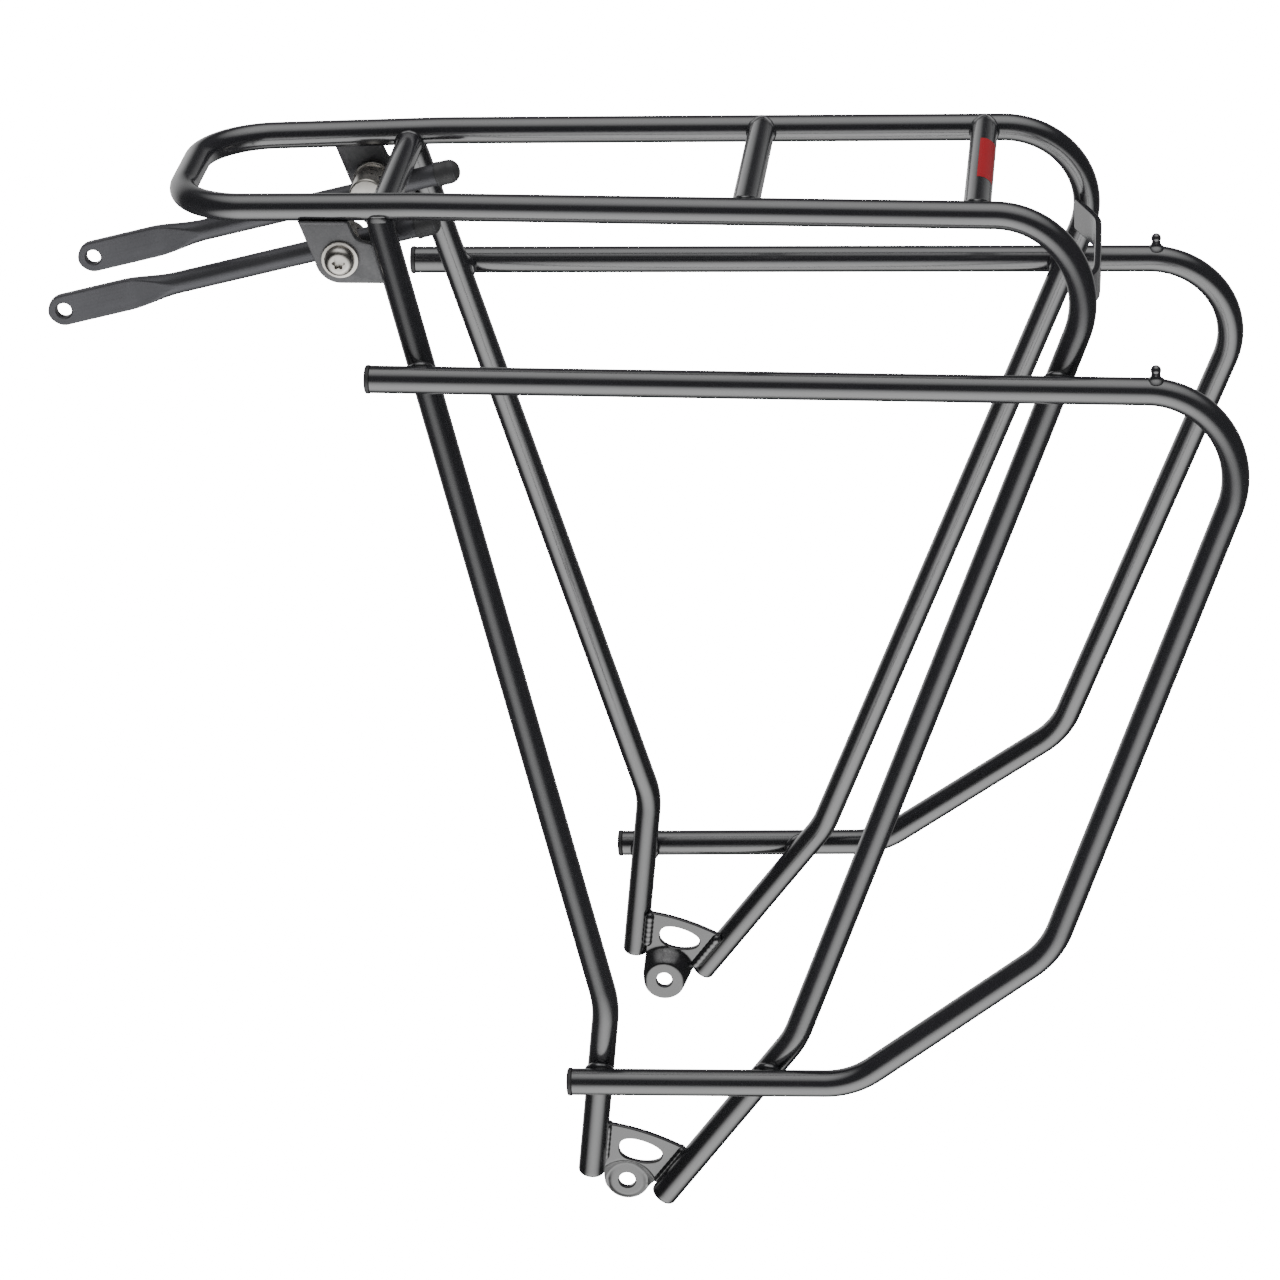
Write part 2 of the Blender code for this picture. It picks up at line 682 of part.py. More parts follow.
def add_clamp(name, side, pivot):
    """Barrel, washer and bolt, which turn together in the bracket about the bolt's axis."""
    turn = outward(side)
    steel = "stainless_steel"
    add_turned(f"clamp_washer_{name}", washer_profile(), ORIGIN, turn, pivot, steel, closed=True)
    barrel = add_turned(f"clamp_barrel_{name}", barrel_profile(), ORIGIN, turn, pivot, steel)
    along_strut = Matrix.Rotation(math.pi / 2 - STRUT_TILT, 3, "Y")
    place = Vector((0, side * STRUT_Y, 0))
    bore = circle((0, 0), STRUT_BORE_RADIUS)
    length = 4 * BARREL_BODY_RADIUS
    cut_hole(barrel, f"strut_bore_{name}", bore, length, place, along_strut, pivot)
    bolt = add_turned(f"clamp_bolt_{name}", bolt_profile(), ORIGIN, turn, pivot, steel)
    place = Vector((0, side * (bolt_seat() + BOLT_HEAD_HEIGHT), 0))
    socket = circle((0, 0), BOLT_SOCKET_RADIUS, steps=6)
    cut_hole(bolt, f"socket_{name}", socket, 2 * BOLT_SOCKET_DEPTH, place, turn, pivot)


def strut_sections():
    """(place along the strut, half width, half thickness) from the tip of the eye to the tail."""
    sections = []
    for step in range(1, STRUT_TIP_STEPS + 1):
        angle = math.pi / 2 * step / STRUT_TIP_STEPS
        place = -STRUT_EYE_REACH - STRUT_EYE_HALF_WIDTH * math.cos(angle)
        sections.append((place, STRUT_EYE_HALF_WIDTH * math.sin(angle), STRUT_EYE_HALF_THICKNESS))
    flat_end = -STRUT_EYE_REACH + STRUT_FLAT_LENGTH
    for step in range(STRUT_BLEND_STEPS + 1):
        share = step / STRUT_BLEND_STEPS
        ease = share * share * (3 - 2 * share)
        width = STRUT_EYE_HALF_WIDTH + (STRUT_RADIUS - STRUT_EYE_HALF_WIDTH) * ease
        thickness = STRUT_EYE_HALF_THICKNESS + (STRUT_RADIUS - STRUT_EYE_HALF_THICKNESS) * ease
        sections.append((flat_end + STRUT_BLEND_LENGTH * share, width, thickness))
    sections.append((STRUT_TAIL_REACH - CAP_WALL - GAP, STRUT_RADIUS, STRUT_RADIUS))
    return sections


def section_ring(bm, place, width, thickness):
    """A round outline whose sides are pressed flat where the strut is thinner than it is wide."""
    radius = max(width, STRUT_RADIUS)
    ring = []
    for facet in range(STRUT_FACETS):
        angle = 2 * math.pi * (facet + 0.5) / STRUT_FACETS
        across = max(-thickness, min(thickness, radius * math.cos(angle)))
        ring.append(bm.verts.new((place, across, width * math.sin(angle))))
    return ring


def add_strut(name, side, pivot):
    """A strut and its cap. Local X runs back along the strut from the clamp's axis."""
    tilt = Matrix.Rotation(-STRUT_TILT, 3, "Y")
    axis = add_empty(f"strut_axis_{name}", Vector((0, side * STRUT_Y, 0)), pivot, tilt)
    bm = bmesh.new()
    rings = [section_ring(bm, *section) for section in strut_sections()]
    for first, second in zip(rings, rings[1:]):
        bridge(bm, first, second)
    bm.faces.new(rings[0])
    bm.faces.new(rings[-1])
    strut = add_mesh(f"strut_rod_{name}", bm, ORIGIN, LEVEL, axis, "satin_black_rod")
    eye = circle((0, 0), STRUT_EYE_HOLE_RADIUS)
    place = Vector((-STRUT_EYE_REACH, 0, 0))
    cut_hole(strut, f"eye_{name}", eye, 8 * STRUT_EYE_HALF_THICKNESS, place, UPRIGHT, axis)
    add_cap(name, axis)


def add_cap(name, axis):
    """A plastic cap with a rounded end, pushed over the tail of the strut."""
    bore = STRUT_RADIUS + GAP / 2
    mouth = STRUT_TAIL_REACH - CAP_LENGTH
    floor = STRUT_TAIL_REACH - CAP_WALL
    crown = CAP_RADIUS * 0.45
    outer = CAP_RADIUS + GAP
    profile = [(0.0, floor), (bore, floor), (bore, mouth), (outer, mouth)]
    steps = 4
    for step in range(steps):
        angle = math.pi / 2 * step / steps
        profile.append((outer * math.cos(angle), STRUT_TAIL_REACH - crown * (1 - math.sin(angle))))
    profile.append((0.0, STRUT_TAIL_REACH))
    along = Matrix.Rotation(math.pi / 2, 3, "Y")
    add_turned(f"strut_cap_{name}", profile, ORIGIN, along, axis, "black_plastic")


def footprint_shift():
    """Moves the eyelet layout so that its bounding box is centred on X and stands on Z = 0."""
    eye = STRUT_EYE_REACH * math.cos(STRUT_TILT)
    front = CLAMP_AXIS.x - eye - STRUT_EYE_HALF_WIDTH
    slope = (LOOP_POINTS[2] - LOOP_POINTS[1]).normalized()
    turn = (LOOP_POINTS[1] - LOOP_POINTS[0]).angle(slope)
    bend_start = LOOP_POINTS[1].x - BEND_RADIUS * math.tan(turn / 2)
    rear = bend_start + BEND_RADIUS + TUBE_RADIUS
    low = -EYELET_TAB_RADIUS
    return Vector((-(front + rear) / 2, 0, -low))


def build():
    clear_scene()
    rack = add_empty("rack", footprint_shift())
    add_main_hoop(rack)
    add_front_legs(rack)
    add_cross_tubes(rack)
    add_pannier_loops(rack)
    add_stop_pegs(rack)
    add_plugs(rack)
    add_eyelet_plates(rack)
    add_light_plate(rack)
    add_brackets(rack)
    for name, side in SIDES.items():
        pivot = add_empty(f"clamp_pivot_{name}", CLAMP_AXIS, rack)
        add_clamp(name, side, pivot)
        add_strut(name, side, pivot)


build()
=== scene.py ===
"""Looks of a bicycle rear rack: round tubes, weld beads, fittings and finishes.

Sizes are in metres. The layout they are given in has X = 0 and Z = 0 on the hole of the axle eyelets
and Y = 0 midway between the two sides; placed() moves a layout point into the rack's own frame.
"""

import json
import math

import bmesh
import bpy
from mathutils import Matrix, Vector

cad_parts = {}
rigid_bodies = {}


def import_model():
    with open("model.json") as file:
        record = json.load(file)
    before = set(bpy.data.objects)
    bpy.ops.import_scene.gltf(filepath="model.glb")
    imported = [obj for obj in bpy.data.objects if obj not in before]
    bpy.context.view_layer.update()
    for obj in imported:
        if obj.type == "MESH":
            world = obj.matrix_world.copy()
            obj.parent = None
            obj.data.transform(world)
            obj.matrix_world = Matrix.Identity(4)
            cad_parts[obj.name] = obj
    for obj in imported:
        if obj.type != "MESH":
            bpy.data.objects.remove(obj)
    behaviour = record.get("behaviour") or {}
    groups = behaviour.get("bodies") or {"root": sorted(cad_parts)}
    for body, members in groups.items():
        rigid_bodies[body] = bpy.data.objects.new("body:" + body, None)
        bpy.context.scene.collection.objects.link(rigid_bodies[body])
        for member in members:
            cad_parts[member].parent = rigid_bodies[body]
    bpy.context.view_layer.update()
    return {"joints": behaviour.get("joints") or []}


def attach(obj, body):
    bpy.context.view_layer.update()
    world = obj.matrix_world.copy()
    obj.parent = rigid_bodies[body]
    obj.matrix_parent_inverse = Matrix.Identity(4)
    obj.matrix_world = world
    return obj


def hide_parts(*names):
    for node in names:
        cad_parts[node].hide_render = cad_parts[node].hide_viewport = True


for old in list(bpy.data.objects):
    bpy.data.objects.remove(old, do_unlink=True)
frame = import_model()

MM = 0.001
SIDES = {"left": -1, "right": 1}

# Tubes
TUBE_RADIUS = 5.0 * MM
TUBE_FACETS = 48
BEND_STEP = math.radians(3)
BEND_RADIUS = 31.5 * MM
NOSE_RADIUS = 26.7 * MM
KNEE_RADIUS = 300.0 * MM
SINK = 0.4 * MM
SEAM_GAP = 0.1 * MM
SHARP_ANGLE = math.radians(38)

# Platform and legs
RAIL_HEIGHT = 375.4 * MM
REAR_CORNER = Vector((183.2, 50.6, 375.4)) * MM
RAIL_KNEE = Vector((-70.3, 43.0, 375.4)) * MM
NOSE_CORNER = Vector((-158.3, 39.6, 373.5)) * MM
REAR_LEG_BEND = Vector((65.3, 90.4, 66.6)) * MM
REAR_LEG_END = Vector((15.4, 91.6, 0.5)) * MM
FRONT_LEG_TOP = Vector((-83.7, 43.6, 375.4)) * MM
FRONT_LEG_BEND = Vector((-4.8, 89.8, 78.9)) * MM
FRONT_LEG_END = Vector((-12.3, 90.5, 10.0)) * MM
FRONT_LEG_CEILING = 373.0 * MM
FRONT_LEG_SQUEEZE = 0.82
FRONT_LEG_SHIFT = 1.6 * MM
FRONT_LEG_NECK = 5.0 * MM
CROSS_TUBE_X = {"middle": 48.8 * MM, "rear": 131.3 * MM}
FRONT_CROSS_X = -82.6 * MM
FRONT_CROSS_DROP = 4.0 * MM

# Pannier loops and the pegs on them
LOOP_POINTS = [
    Vector((-85.5, 63.2, 316.9)) * MM,
    Vector((237.4, 70.2, 316.9)) * MM,
    Vector((160.0, 96.0, 107.8)) * MM,
    Vector((86.9, 101.4, 53.9)) * MM,
    Vector((-17.1, 100.5, 51.9)) * MM,
]
STOP_PEG_X = 195.2 * MM
STOP_PEG_RADIUS = 2.0 * MM
STOP_PEG_HEIGHT = 4.7 * MM
STOP_PEG_WAIST = 0.35 * MM
STOP_PEG_FLARE = 1.6 * MM
STOP_PEG_FOOT = 1.2 * MM
STOP_PEG_CROWN = 1.9 * MM
PLUG_HEAD = 2.3 * MM
PLUG_LIP = 0.25 * MM
PLUG_DOME = 0.5 * MM
PLUG_GROOVE = 0.3 * MM
PLUG_NECK_INSET = 0.5 * MM
PLUG_EASES = (0, 0, 0.25 * MM, 0.6 * MM, 0.3 * MM, 0.8 * MM)
LEG_CAP_HEIGHT = 2.9 * MM
LEG_CAP_ROUNDING = 2.0 * MM
LEG_CAP_INSET = 0.3 * MM

# Weld beads, rippled along their length
BEAD_RADIUS = 1.1 * MM
LEG_BEAD_RADIUS = 1.3 * MM
PLATE_BEAD_RADIUS = 0.6 * MM
EYELET_BEAD_RADIUS = {"outer": 1.4 * MM, "inner": 1.9 * MM}
BEAD_FACETS = 12
BEAD_SPACING = 0.3 * MM
BEAD_RIPPLE = 0.03
BEAD_PITCH = 2.2 * MM
OPEN_BEAD_TIP = 0.2
END_BEAD_INSET = 0.08
EDGE_BEAD_OVERLAP = 0.2 * MM
CONTACT_BEAD_REACH = 4.4 * MM
CONTACT_BEAD_RADIUS = 1.56 * MM

# Axle eyelets
EYELET_HOLE_RADIUS = 3.1 * MM
EYELET_TAB_RADIUS = 8.6 * MM
EYELET_TAB_START = -28
EYELET_SEAT_RADIUS = 5.7 * MM
EYELET_SEAT_DROP = 1.3 * MM
EYELET_SEAT_FADE = 6.0 * MM
EYELET_PLATE_Y = 87.4 * MM
EYELET_DISH_DEPTH = 6.0 * MM
EYELET_DISH_FLOOR_RADIUS = 7.0 * MM
EYELET_DISH_RIM_RADIUS = 12.6 * MM
EYELET_THICKNESS = 2.4 * MM
WINDOW_CENTRE = (6.2 * MM, 16.4 * MM)
WINDOW_HALF_LENGTH = 8.2 * MM
WINDOW_HALF_HEIGHTS = {"above": 3.9 * MM, "below": 5.1 * MM}
WINDOW_TAPER = 0.14
WINDOW_BLUNTNESS = 0.8
WINDOW_TILT = math.radians(-15.5)
PLATE_ARCH_RISE = 1.4 * MM
PLATE_TOP_FRONT_Z = 27.6 * MM
PLATE_TOP_REAR_Z = 17.6 * MM
PLATE_REAR_LOW_Z = 2.0 * MM
PLATE_FRONT_LOW_Z = 2.0 * MM
PLATE_OVERLAP = 0.6 * MM
FRONT_BEAD_LOW_Z = 12.4 * MM
REAR_BEAD_LOW_Z = 3.2 * MM
PLATE_EDGE = 0.5 * MM
PLATE_GRID = 0.6 * MM

# Light plate
LIGHT_PLATE_Z = 341.9 * MM
LIGHT_PLATE_X = 173.4 * MM
LIGHT_PLATE_HALF_FLAT = 27.0 * MM
LIGHT_PLATE_HALF_HEIGHT = 5.8 * MM
LIGHT_PLATE_THICKNESS = 2.5 * MM
LIGHT_ARM_END = (165.2 * MM, 48.0 * MM)
LIGHT_HOLE_SPACING = 38.0 * MM
LIGHT_HOLE_RADIUS = 2.6 * MM
LIGHT_PLATE_CORNER = 1.2 * MM
LIGHT_PLATE_GRID = 1.5 * MM
LIGHT_PLATE_BEND = 3.0 * MM

# Strut brackets and clamps
CLAMP_AXIS = Vector((-97.1, 0.0, 356.5)) * MM
BRACKET_Y = 44.8 * MM
BRACKET_THICKNESS = 3.0 * MM
BRACKET_LOBE_RADIUS = 9.3 * MM
BRACKET_LOBE_END = math.radians(-170)
BRACKET_TOP_FRONT_X = -111.9 * MM
BRACKET_TOP_REAR_X = -93.9 * MM
BRACKET_TOP_Z = 369.9 * MM
BRACKET_NOTCH = (-91.1 * MM, 363.5 * MM)
BRACKET_TAIL_TOP_Z = 362.1 * MM
BRACKET_TAIL_LOW_Z = 347.2 * MM
BRACKET_HOLE_RADIUS = 4.3 * MM
BRACKET_NOTCH_ROUNDING = 2.5 * MM
BRACKET_BEAD_INSET = 0.5 * MM
GAP = 0.3 * MM
BARREL_NECK_RADIUS = 4.0 * MM
BARREL_COLLAR_RADIUS = 6.0 * MM
BARREL_FLANGE_RADIUS = 7.5 * MM
BARREL_BODY_RADIUS = 6.6 * MM
BARREL_COLLAR_LENGTH = 2.4 * MM
BARREL_FLANGE_LENGTH = 1.5 * MM
BARREL_CHAMFER = 0.8 * MM
BARREL_EASE = 0.35 * MM
WASHER_RADIUS = 6.8 * MM
WASHER_THICKNESS = 1.0 * MM
WASHER_EASE = 0.3 * MM
BOLT_HEAD_RADIUS = 5.5 * MM
BOLT_HEAD_HEIGHT = 3.2 * MM
BOLT_HEAD_CHAMFER = 0.15 * MM
BOLT_HEAD_RIM = 0.6 * MM
BOLT_HEAD_FLAT = 2.9 * MM
SOCKET_RADIUS = 2.1 * MM
SOCKET_LOBE = 0.35 * MM
SOCKET_DEPTH = 1.9 * MM
TURNED_FACETS = 64

# Struts
STRUT_Y = 28.8 * MM
STRUT_TILT = math.radians(14.0)
STRUT_RADIUS = 4.0 * MM
STRUT_BORE_RADIUS = 4.3 * MM
STRUT_EYE_REACH = 109.0 * MM
STRUT_TAIL_REACH = 35.5 * MM
STRUT_EYE_HALF_WIDTH = 5.9 * MM
STRUT_EYE_HALF_THICKNESS = 1.7 * MM
STRUT_EYE_HOLE_RADIUS = 2.75 * MM
STRUT_FLAT_LENGTH = 24.0 * MM
STRUT_BLEND_LENGTH = 20.0 * MM
STRUT_FACETS = 64
STRUT_SHOULDER = 0.35 * MM
STRUT_EYE_CHAMFER = 0.4 * MM
STRUT_TAIL_INSET = 2.0 * MM
CAP_RADIUS = 4.7 * MM
CAP_LENGTH = 9.0 * MM
CAP_CROWN = 4.3 * MM
CAP_CROWN_BLUNTNESS = 0.9
CAP_LIP = 0.15 * MM
CAP_LIP_LENGTH = 1.2 * MM
CAP_LIP_END = 1.4 * MM

# Label on the rear cross tube
LABEL_HALF_LENGTH = 21.5 * MM
LABEL_WIDTH = math.radians(78)
LABEL_TILT = math.radians(59)
LABEL_LIFT = 0.06 * MM

# Camera, in the layout frame
CAMERA_PLACE = Vector((187.5, -1794.0, 988.5)) * MM
CAMERA_YAW = math.radians(5.89)
CAMERA_PITCH = math.radians(23.95)
CAMERA_ROLL = math.radians(-1.68)
CAMERA_LENS = 146.48
CAMERA_SENSOR = 36.0
CAMERA_CLIP = (0.05, 50.0)

# Studio
FLOOR_HALF_SIZE = 4.0
FLOOR_DROP = -0.9 * MM
FLOOR_WHITE = (0.86, 0.86, 0.86)
FLOOR_ROUGHNESS = 0.9
BACKDROP_GLOW = 16.0
SKY_STRENGTH = 0.6
OVERHEAD_PLACE = (0.1, 0.3, 1.9)
OVERHEAD_AIM = (0.0, 0.0, 0.2)
OVERHEAD_SIZE = (2.4, 1.8)
OVERHEAD_POWER = 60.0
CARD_Y = 0.83
CARD_HEIGHTS = {"place": 0.02, "aim": 1.0}
CARD_SIZE = (2.0, 1.3)
CARD_POWER = 24.0
# Soft boxes seen in reflections: aim in the camera's frame (right, up, ahead), then where the light
# begins and where it is full, each as (agreement with the aim, brightness)
STUDIO_BOXES = (
    ((0.0, -0.951, -0.309), (0.6, 0.0), (0.96, 2.25)),
    ((0.0, 0.906, -0.42), (0.7, 0.03), (0.98, 1.4)),
    ((-0.5, 0.35, 0.79), (0.8, 0.0), (0.97, 0.85)),
    ((0.45, 0.2, 0.87), (0.85, 0.0), (0.98, 0.3)),
)

BLACK = (0.0, 0.0, 0.0)
NOISE_SPREAD = (0.3, 0.7)
COAT_ROUGHNESS = 0.1
LEVEL = Matrix.Identity(4)


def layout_shift():
    """From the layout frame to the rack's own, by way of the left clamp's axis."""
    hinge = next(joint for joint in frame["joints"] if joint["name"] == "clamp_left_turn")
    return Vector((hinge["pos_m"][0], 0, hinge["pos_m"][2])) - CLAMP_AXIS


SHIFT = layout_shift()


def placed(point, side=1):
    return Vector((point[0], point[1] * side, point[2])) + SHIFT


# ---------------------------------------------------------------- materials


def new_material(name, colour, roughness, metallic=0.0, coat=0.0, ior=1.5):
    material = bpy.data.materials.new("look_" + name)
    material.use_nodes = True
    shader = material.node_tree.nodes["Principled BSDF"]
    shader.inputs["Base Color"].default_value = (*colour, 1)
    shader.inputs["Roughness"].default_value = roughness
    shader.inputs["Metallic"].default_value = metallic
    shader.inputs["Coat Weight"].default_value = coat
    shader.inputs["Coat Roughness"].default_value = COAT_ROUGHNESS
    shader.inputs["IOR"].default_value = ior
    material.diffuse_color = (*colour, 1)
    return material, material.node_tree, shader


def noise(tree, scale, detail=2.0, stretch=(1, 1, 1)):
    """A noise value in the piece's own coordinates; scale is in features per metre."""
    coordinates = tree.nodes.new("ShaderNodeTexCoord")
    mapping = tree.nodes.new("ShaderNodeMapping")
    mapping.inputs["Scale"].default_value = stretch
    texture = tree.nodes.new("ShaderNodeTexNoise")
    texture.inputs["Scale"].default_value = scale
    texture.inputs["Detail"].default_value = detail
    tree.links.new(coordinates.outputs["Object"], mapping.inputs["Vector"])
    tree.links.new(mapping.outputs["Vector"], texture.inputs["Vector"])
    return texture.outputs["Fac"]


def remap(tree, value, low, high, to_low, to_high):
    node = tree.nodes.new("ShaderNodeMapRange")
    for name, number in zip(("From Min", "From Max", "To Min", "To Max"), (low, high, to_low, to_high)):
        node.inputs[name].default_value = number
    tree.links.new(value, node.inputs["Value"])
    return node.outputs["Result"]


def spread(tree, value, low, high):
    """A noise value spread evenly from low to high."""
    return remap(tree, value, *NOISE_SPREAD, low, high)


def mix_colours(tree, value, first, second):
    node = tree.nodes.new("ShaderNodeMix")
    node.data_type = "RGBA"
    node.inputs["A"].default_value = (*first, 1)
    node.inputs["B"].default_value = (*second, 1)
    tree.links.new(value, node.inputs["Factor"])
    return node.outputs["Result"]


def bump(tree, shader, height, strength, distance):
    node = tree.nodes.new("ShaderNodeBump")
    node.inputs["Strength"].default_value = strength
    node.inputs["Distance"].default_value = distance
    tree.links.new(height, node.inputs["Height"])
    tree.links.new(node.outputs["Normal"], shader.inputs["Normal"])
    return node


def powder_coat():
    """Glossy black powder coat: a faint orange peel, fine specks and patches that shine a little less."""
    material, tree, shader = new_material("powder_coat", (0.012, 0.012, 0.014), 0.24, coat=0.8, ior=2.1)
    peel = noise(tree, scale=700, detail=3.0)
    patches = noise(tree, scale=45, detail=4.0)
    dust = noise(tree, scale=2600, detail=1.0)
    tree.links.new(spread(tree, patches, 0.19, 0.26), shader.inputs["Roughness"])
    specks = remap(tree, dust, low=0.70, high=0.78, to_low=0.0, to_high=0.5)
    colour = mix_colours(tree, specks, (0.011, 0.011, 0.013), (0.05, 0.05, 0.052))
    tree.links.new(colour, shader.inputs["Base Color"])
    normal = bump(tree, shader, peel, strength=0.05, distance=0.08 * MM)
    tree.links.new(normal.outputs["Normal"], shader.inputs["Coat Normal"])
    return material


def moulded_plastic():
    """Black plastic with a fine spark-eroded grain."""
    material, tree, shader = new_material("moulded_plastic", (0.02, 0.02, 0.021), 0.5)
    grain = noise(tree, scale=3200)
    patches = noise(tree, scale=160)
    tree.links.new(spread(tree, patches, 0.42, 0.58), shader.inputs["Roughness"])
    bump(tree, shader, grain, strength=0.35, distance=0.05 * MM)
    return material


def satin_steel():
    """Dark grey satin paint on pressed sheet, with mottling and hairline marks."""
    material, tree, shader = new_material("satin_steel", (0.07, 0.07, 0.075), 0.42, ior=1.8)
    mottling = noise(tree, scale=120, detail=5.0)
    marks = noise(tree, scale=500, stretch=(1.0, 1.0, 0.08))
    skin_grain = noise(tree, scale=1500)
    colour = mix_colours(tree, mottling, (0.028, 0.028, 0.031), (0.042, 0.042, 0.046))
    tree.links.new(colour, shader.inputs["Base Color"])
    tree.links.new(spread(tree, marks, 0.34, 0.5), shader.inputs["Roughness"])
    bump(tree, shader, skin_grain, strength=0.2, distance=0.06 * MM)
    return material


def turned_stainless():
    """Bright stainless steel with the fine rings that turning leaves round local Z."""
    material, tree, shader = new_material("turned_stainless", (0.66, 0.63, 0.58), 0.2, metallic=1.0)
    rings = noise(tree, scale=900, detail=3.0, stretch=(0.15, 0.15, 1.0))
    stains = noise(tree, scale=260, detail=3.0)
    colour = mix_colours(tree, stains, (0.62, 0.59, 0.54), (0.78, 0.76, 0.72))
    tree.links.new(colour, shader.inputs["Base Color"])
    tree.links.new(spread(tree, rings, 0.26, 0.42), shader.inputs["Roughness"])
    bump(tree, shader, rings, strength=0.18, distance=0.05 * MM)
    return material


def satin_rod():
    """Dark grey anodised rod, brushed along local X."""
    material, tree, shader = new_material("satin_rod", (0.09, 0.09, 0.097), 0.36, metallic=0.55)
    lines = noise(tree, scale=1500, detail=3.0, stretch=(0.02, 1.0, 1.0))
    patches = noise(tree, scale=90, detail=3.0)
    colour = mix_colours(tree, patches, (0.045, 0.045, 0.05), (0.07, 0.07, 0.076))
    tree.links.new(colour, shader.inputs["Base Color"])
    tree.links.new(spread(tree, lines, 0.28, 0.46), shader.inputs["Roughness"])
    bump(tree, shader, lines, strength=0.12, distance=0.05 * MM)
    return material


def label_print():
    """Red print, a little uneven."""
    material, tree, shader = new_material("label_print", (0.4, 0.01, 0.015), 0.45)
    screen = noise(tree, scale=1800)
    colour = mix_colours(tree, screen, (0.13, 0.003, 0.006), (0.24, 0.006, 0.01))
    tree.links.new(colour, shader.inputs["Base Color"])
    return material


LOOKS = {
    "black_powder_coat": powder_coat(),
    "black_plastic": moulded_plastic(),
    "satin_black_steel": satin_steel(),
    "stainless_steel": turned_stainless(),
    "satin_black_rod": satin_rod(),
}


# ---------------------------------------------------------------- mesh tools


def add_piece(name, bm, slot, body="rack", replaces=(), place=LEVEL, material=None):
    """A new object from a bmesh, riding on a body, in the look of a material slot."""
    bmesh.ops.recalc_face_normals(bm, faces=bm.faces)
    mesh = bpy.data.meshes.new(name)
    bm.to_mesh(mesh)
    bm.free()
    mesh.materials.append(material or LOOKS[slot])
    obj = bpy.data.objects.new(name, mesh)
    bpy.context.scene.collection.objects.link(obj)
    obj.matrix_world = place
    smooth(obj)
    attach(obj, body)
    if replaces:
        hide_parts(*replaces)
    return obj


def smooth(obj):
    obj.data.shade_smooth()
    obj.data.set_sharp_from_angle(angle=SHARP_ANGLE)


def rounded_path(points, radii):
    """The polyline through points with each inner corner turned into an arc of its radius."""
    path = [points[0].copy()]
    for before, corner, after, radius in zip(points, points[1:], points[2:], radii):
        into = (corner - before).normalized()
        out = (after - corner).normalized()
        turn = into.angle(out)
        start = corner - into * radius * math.tan(turn / 2)
        normal = (out - into * into.dot(out)).normalized()
        centre = start + normal * radius
        steps = max(2, math.ceil(turn / BEND_STEP))
        for step in range(steps + 1):
            angle = turn * step / steps
            path.append(centre - normal * radius * math.cos(angle) + into * radius * math.sin(angle))
    path.append(points[-1].copy())
    return path


def path_tangents(path):
    tangents = []
    for index in range(len(path)):
        before = path[max(index - 1, 0)]
        after = path[min(index + 1, len(path) - 1)]
        tangents.append((after - before).normalized())
    return tangents


def tube_rings(path):
    """Rings of points round a path, turned as little as possible from one to the next."""
    tangents = path_tangents(path)
    across = tangents[0].orthogonal().normalized()
    rings = []
    for centre, tangent in zip(path, tangents):
        across = (across - tangent * across.dot(tangent)).normalized()
        rings.append(ring_round(centre, across, tangent.cross(across), TUBE_RADIUS, TUBE_FACETS))
    return rings


def ring_round(centre, across, upward, radius, facets):
    ring = []
    for facet in range(facets):
        angle = 2 * math.pi * facet / facets
        ring.append(centre + across * radius * math.cos(angle) + upward * radius * math.sin(angle))
    return ring


def bridge(bm, first, second):
    for index in range(len(first)):
        after = (index + 1) % len(first)
        bm.faces.new((first[index], first[after], second[after], second[index]))


def skin(rings, closed=False, capped=True):
    """A mesh over rings of points, joined end to end when closed, or else filled at its ends if capped."""
    bm = bmesh.new()
    loops = [[bm.verts.new(point) for point in ring] for ring in rings]
    for first, second in zip(loops, loops[1:]):
        bridge(bm, first, second)
    if closed:
        bridge(bm, loops[-1], loops[0])
    elif capped:
        bm.faces.new(loops[0])
        bm.faces.new(loops[-1])
    return bm


def reach(point, direction, obstacles, margin):
    """How far a point travels along direction before it is a margin away from a tube."""
    distances = []
    for start, end in obstacles:
        axis = (end - start).normalized()
        offset = point - start
        offset -= axis * offset.dot(axis)
        heading = direction - axis * direction.dot(axis)
        square = heading.length_squared
        middle = -offset.dot(heading) / square
        clearance = (TUBE_RADIUS + margin) ** 2 - (offset + heading * middle).length_squared
        distances.append(middle - math.sqrt(max(clearance, 0.0) / square))
    return min(distances)


def coped(ring, direction, obstacles, margin):
    """A ring moved along direction until it is a margin away from the tubes ahead of it."""
    return [point + direction * reach(point, direction, obstacles, margin) for point in ring]


def squeezed(ring, direction):
    """The coped end of a front leg, level at the ceiling and pressed narrower under the rail."""
    ceiling = placed((0, 0, FRONT_LEG_CEILING)).z
    centre = sum(ring, Vector()) / len(ring)
    result = []
    for point in ring:
        over = max(point.z - ceiling, 0.0)
        point = point - direction * over / direction.z
        offset = (point.y - centre.y) * FRONT_LEG_SQUEEZE
        inward = math.copysign(FRONT_LEG_SHIFT, centre.y)
        result.append(Vector((point.x, centre.y - inward + offset, point.z)))
    return result


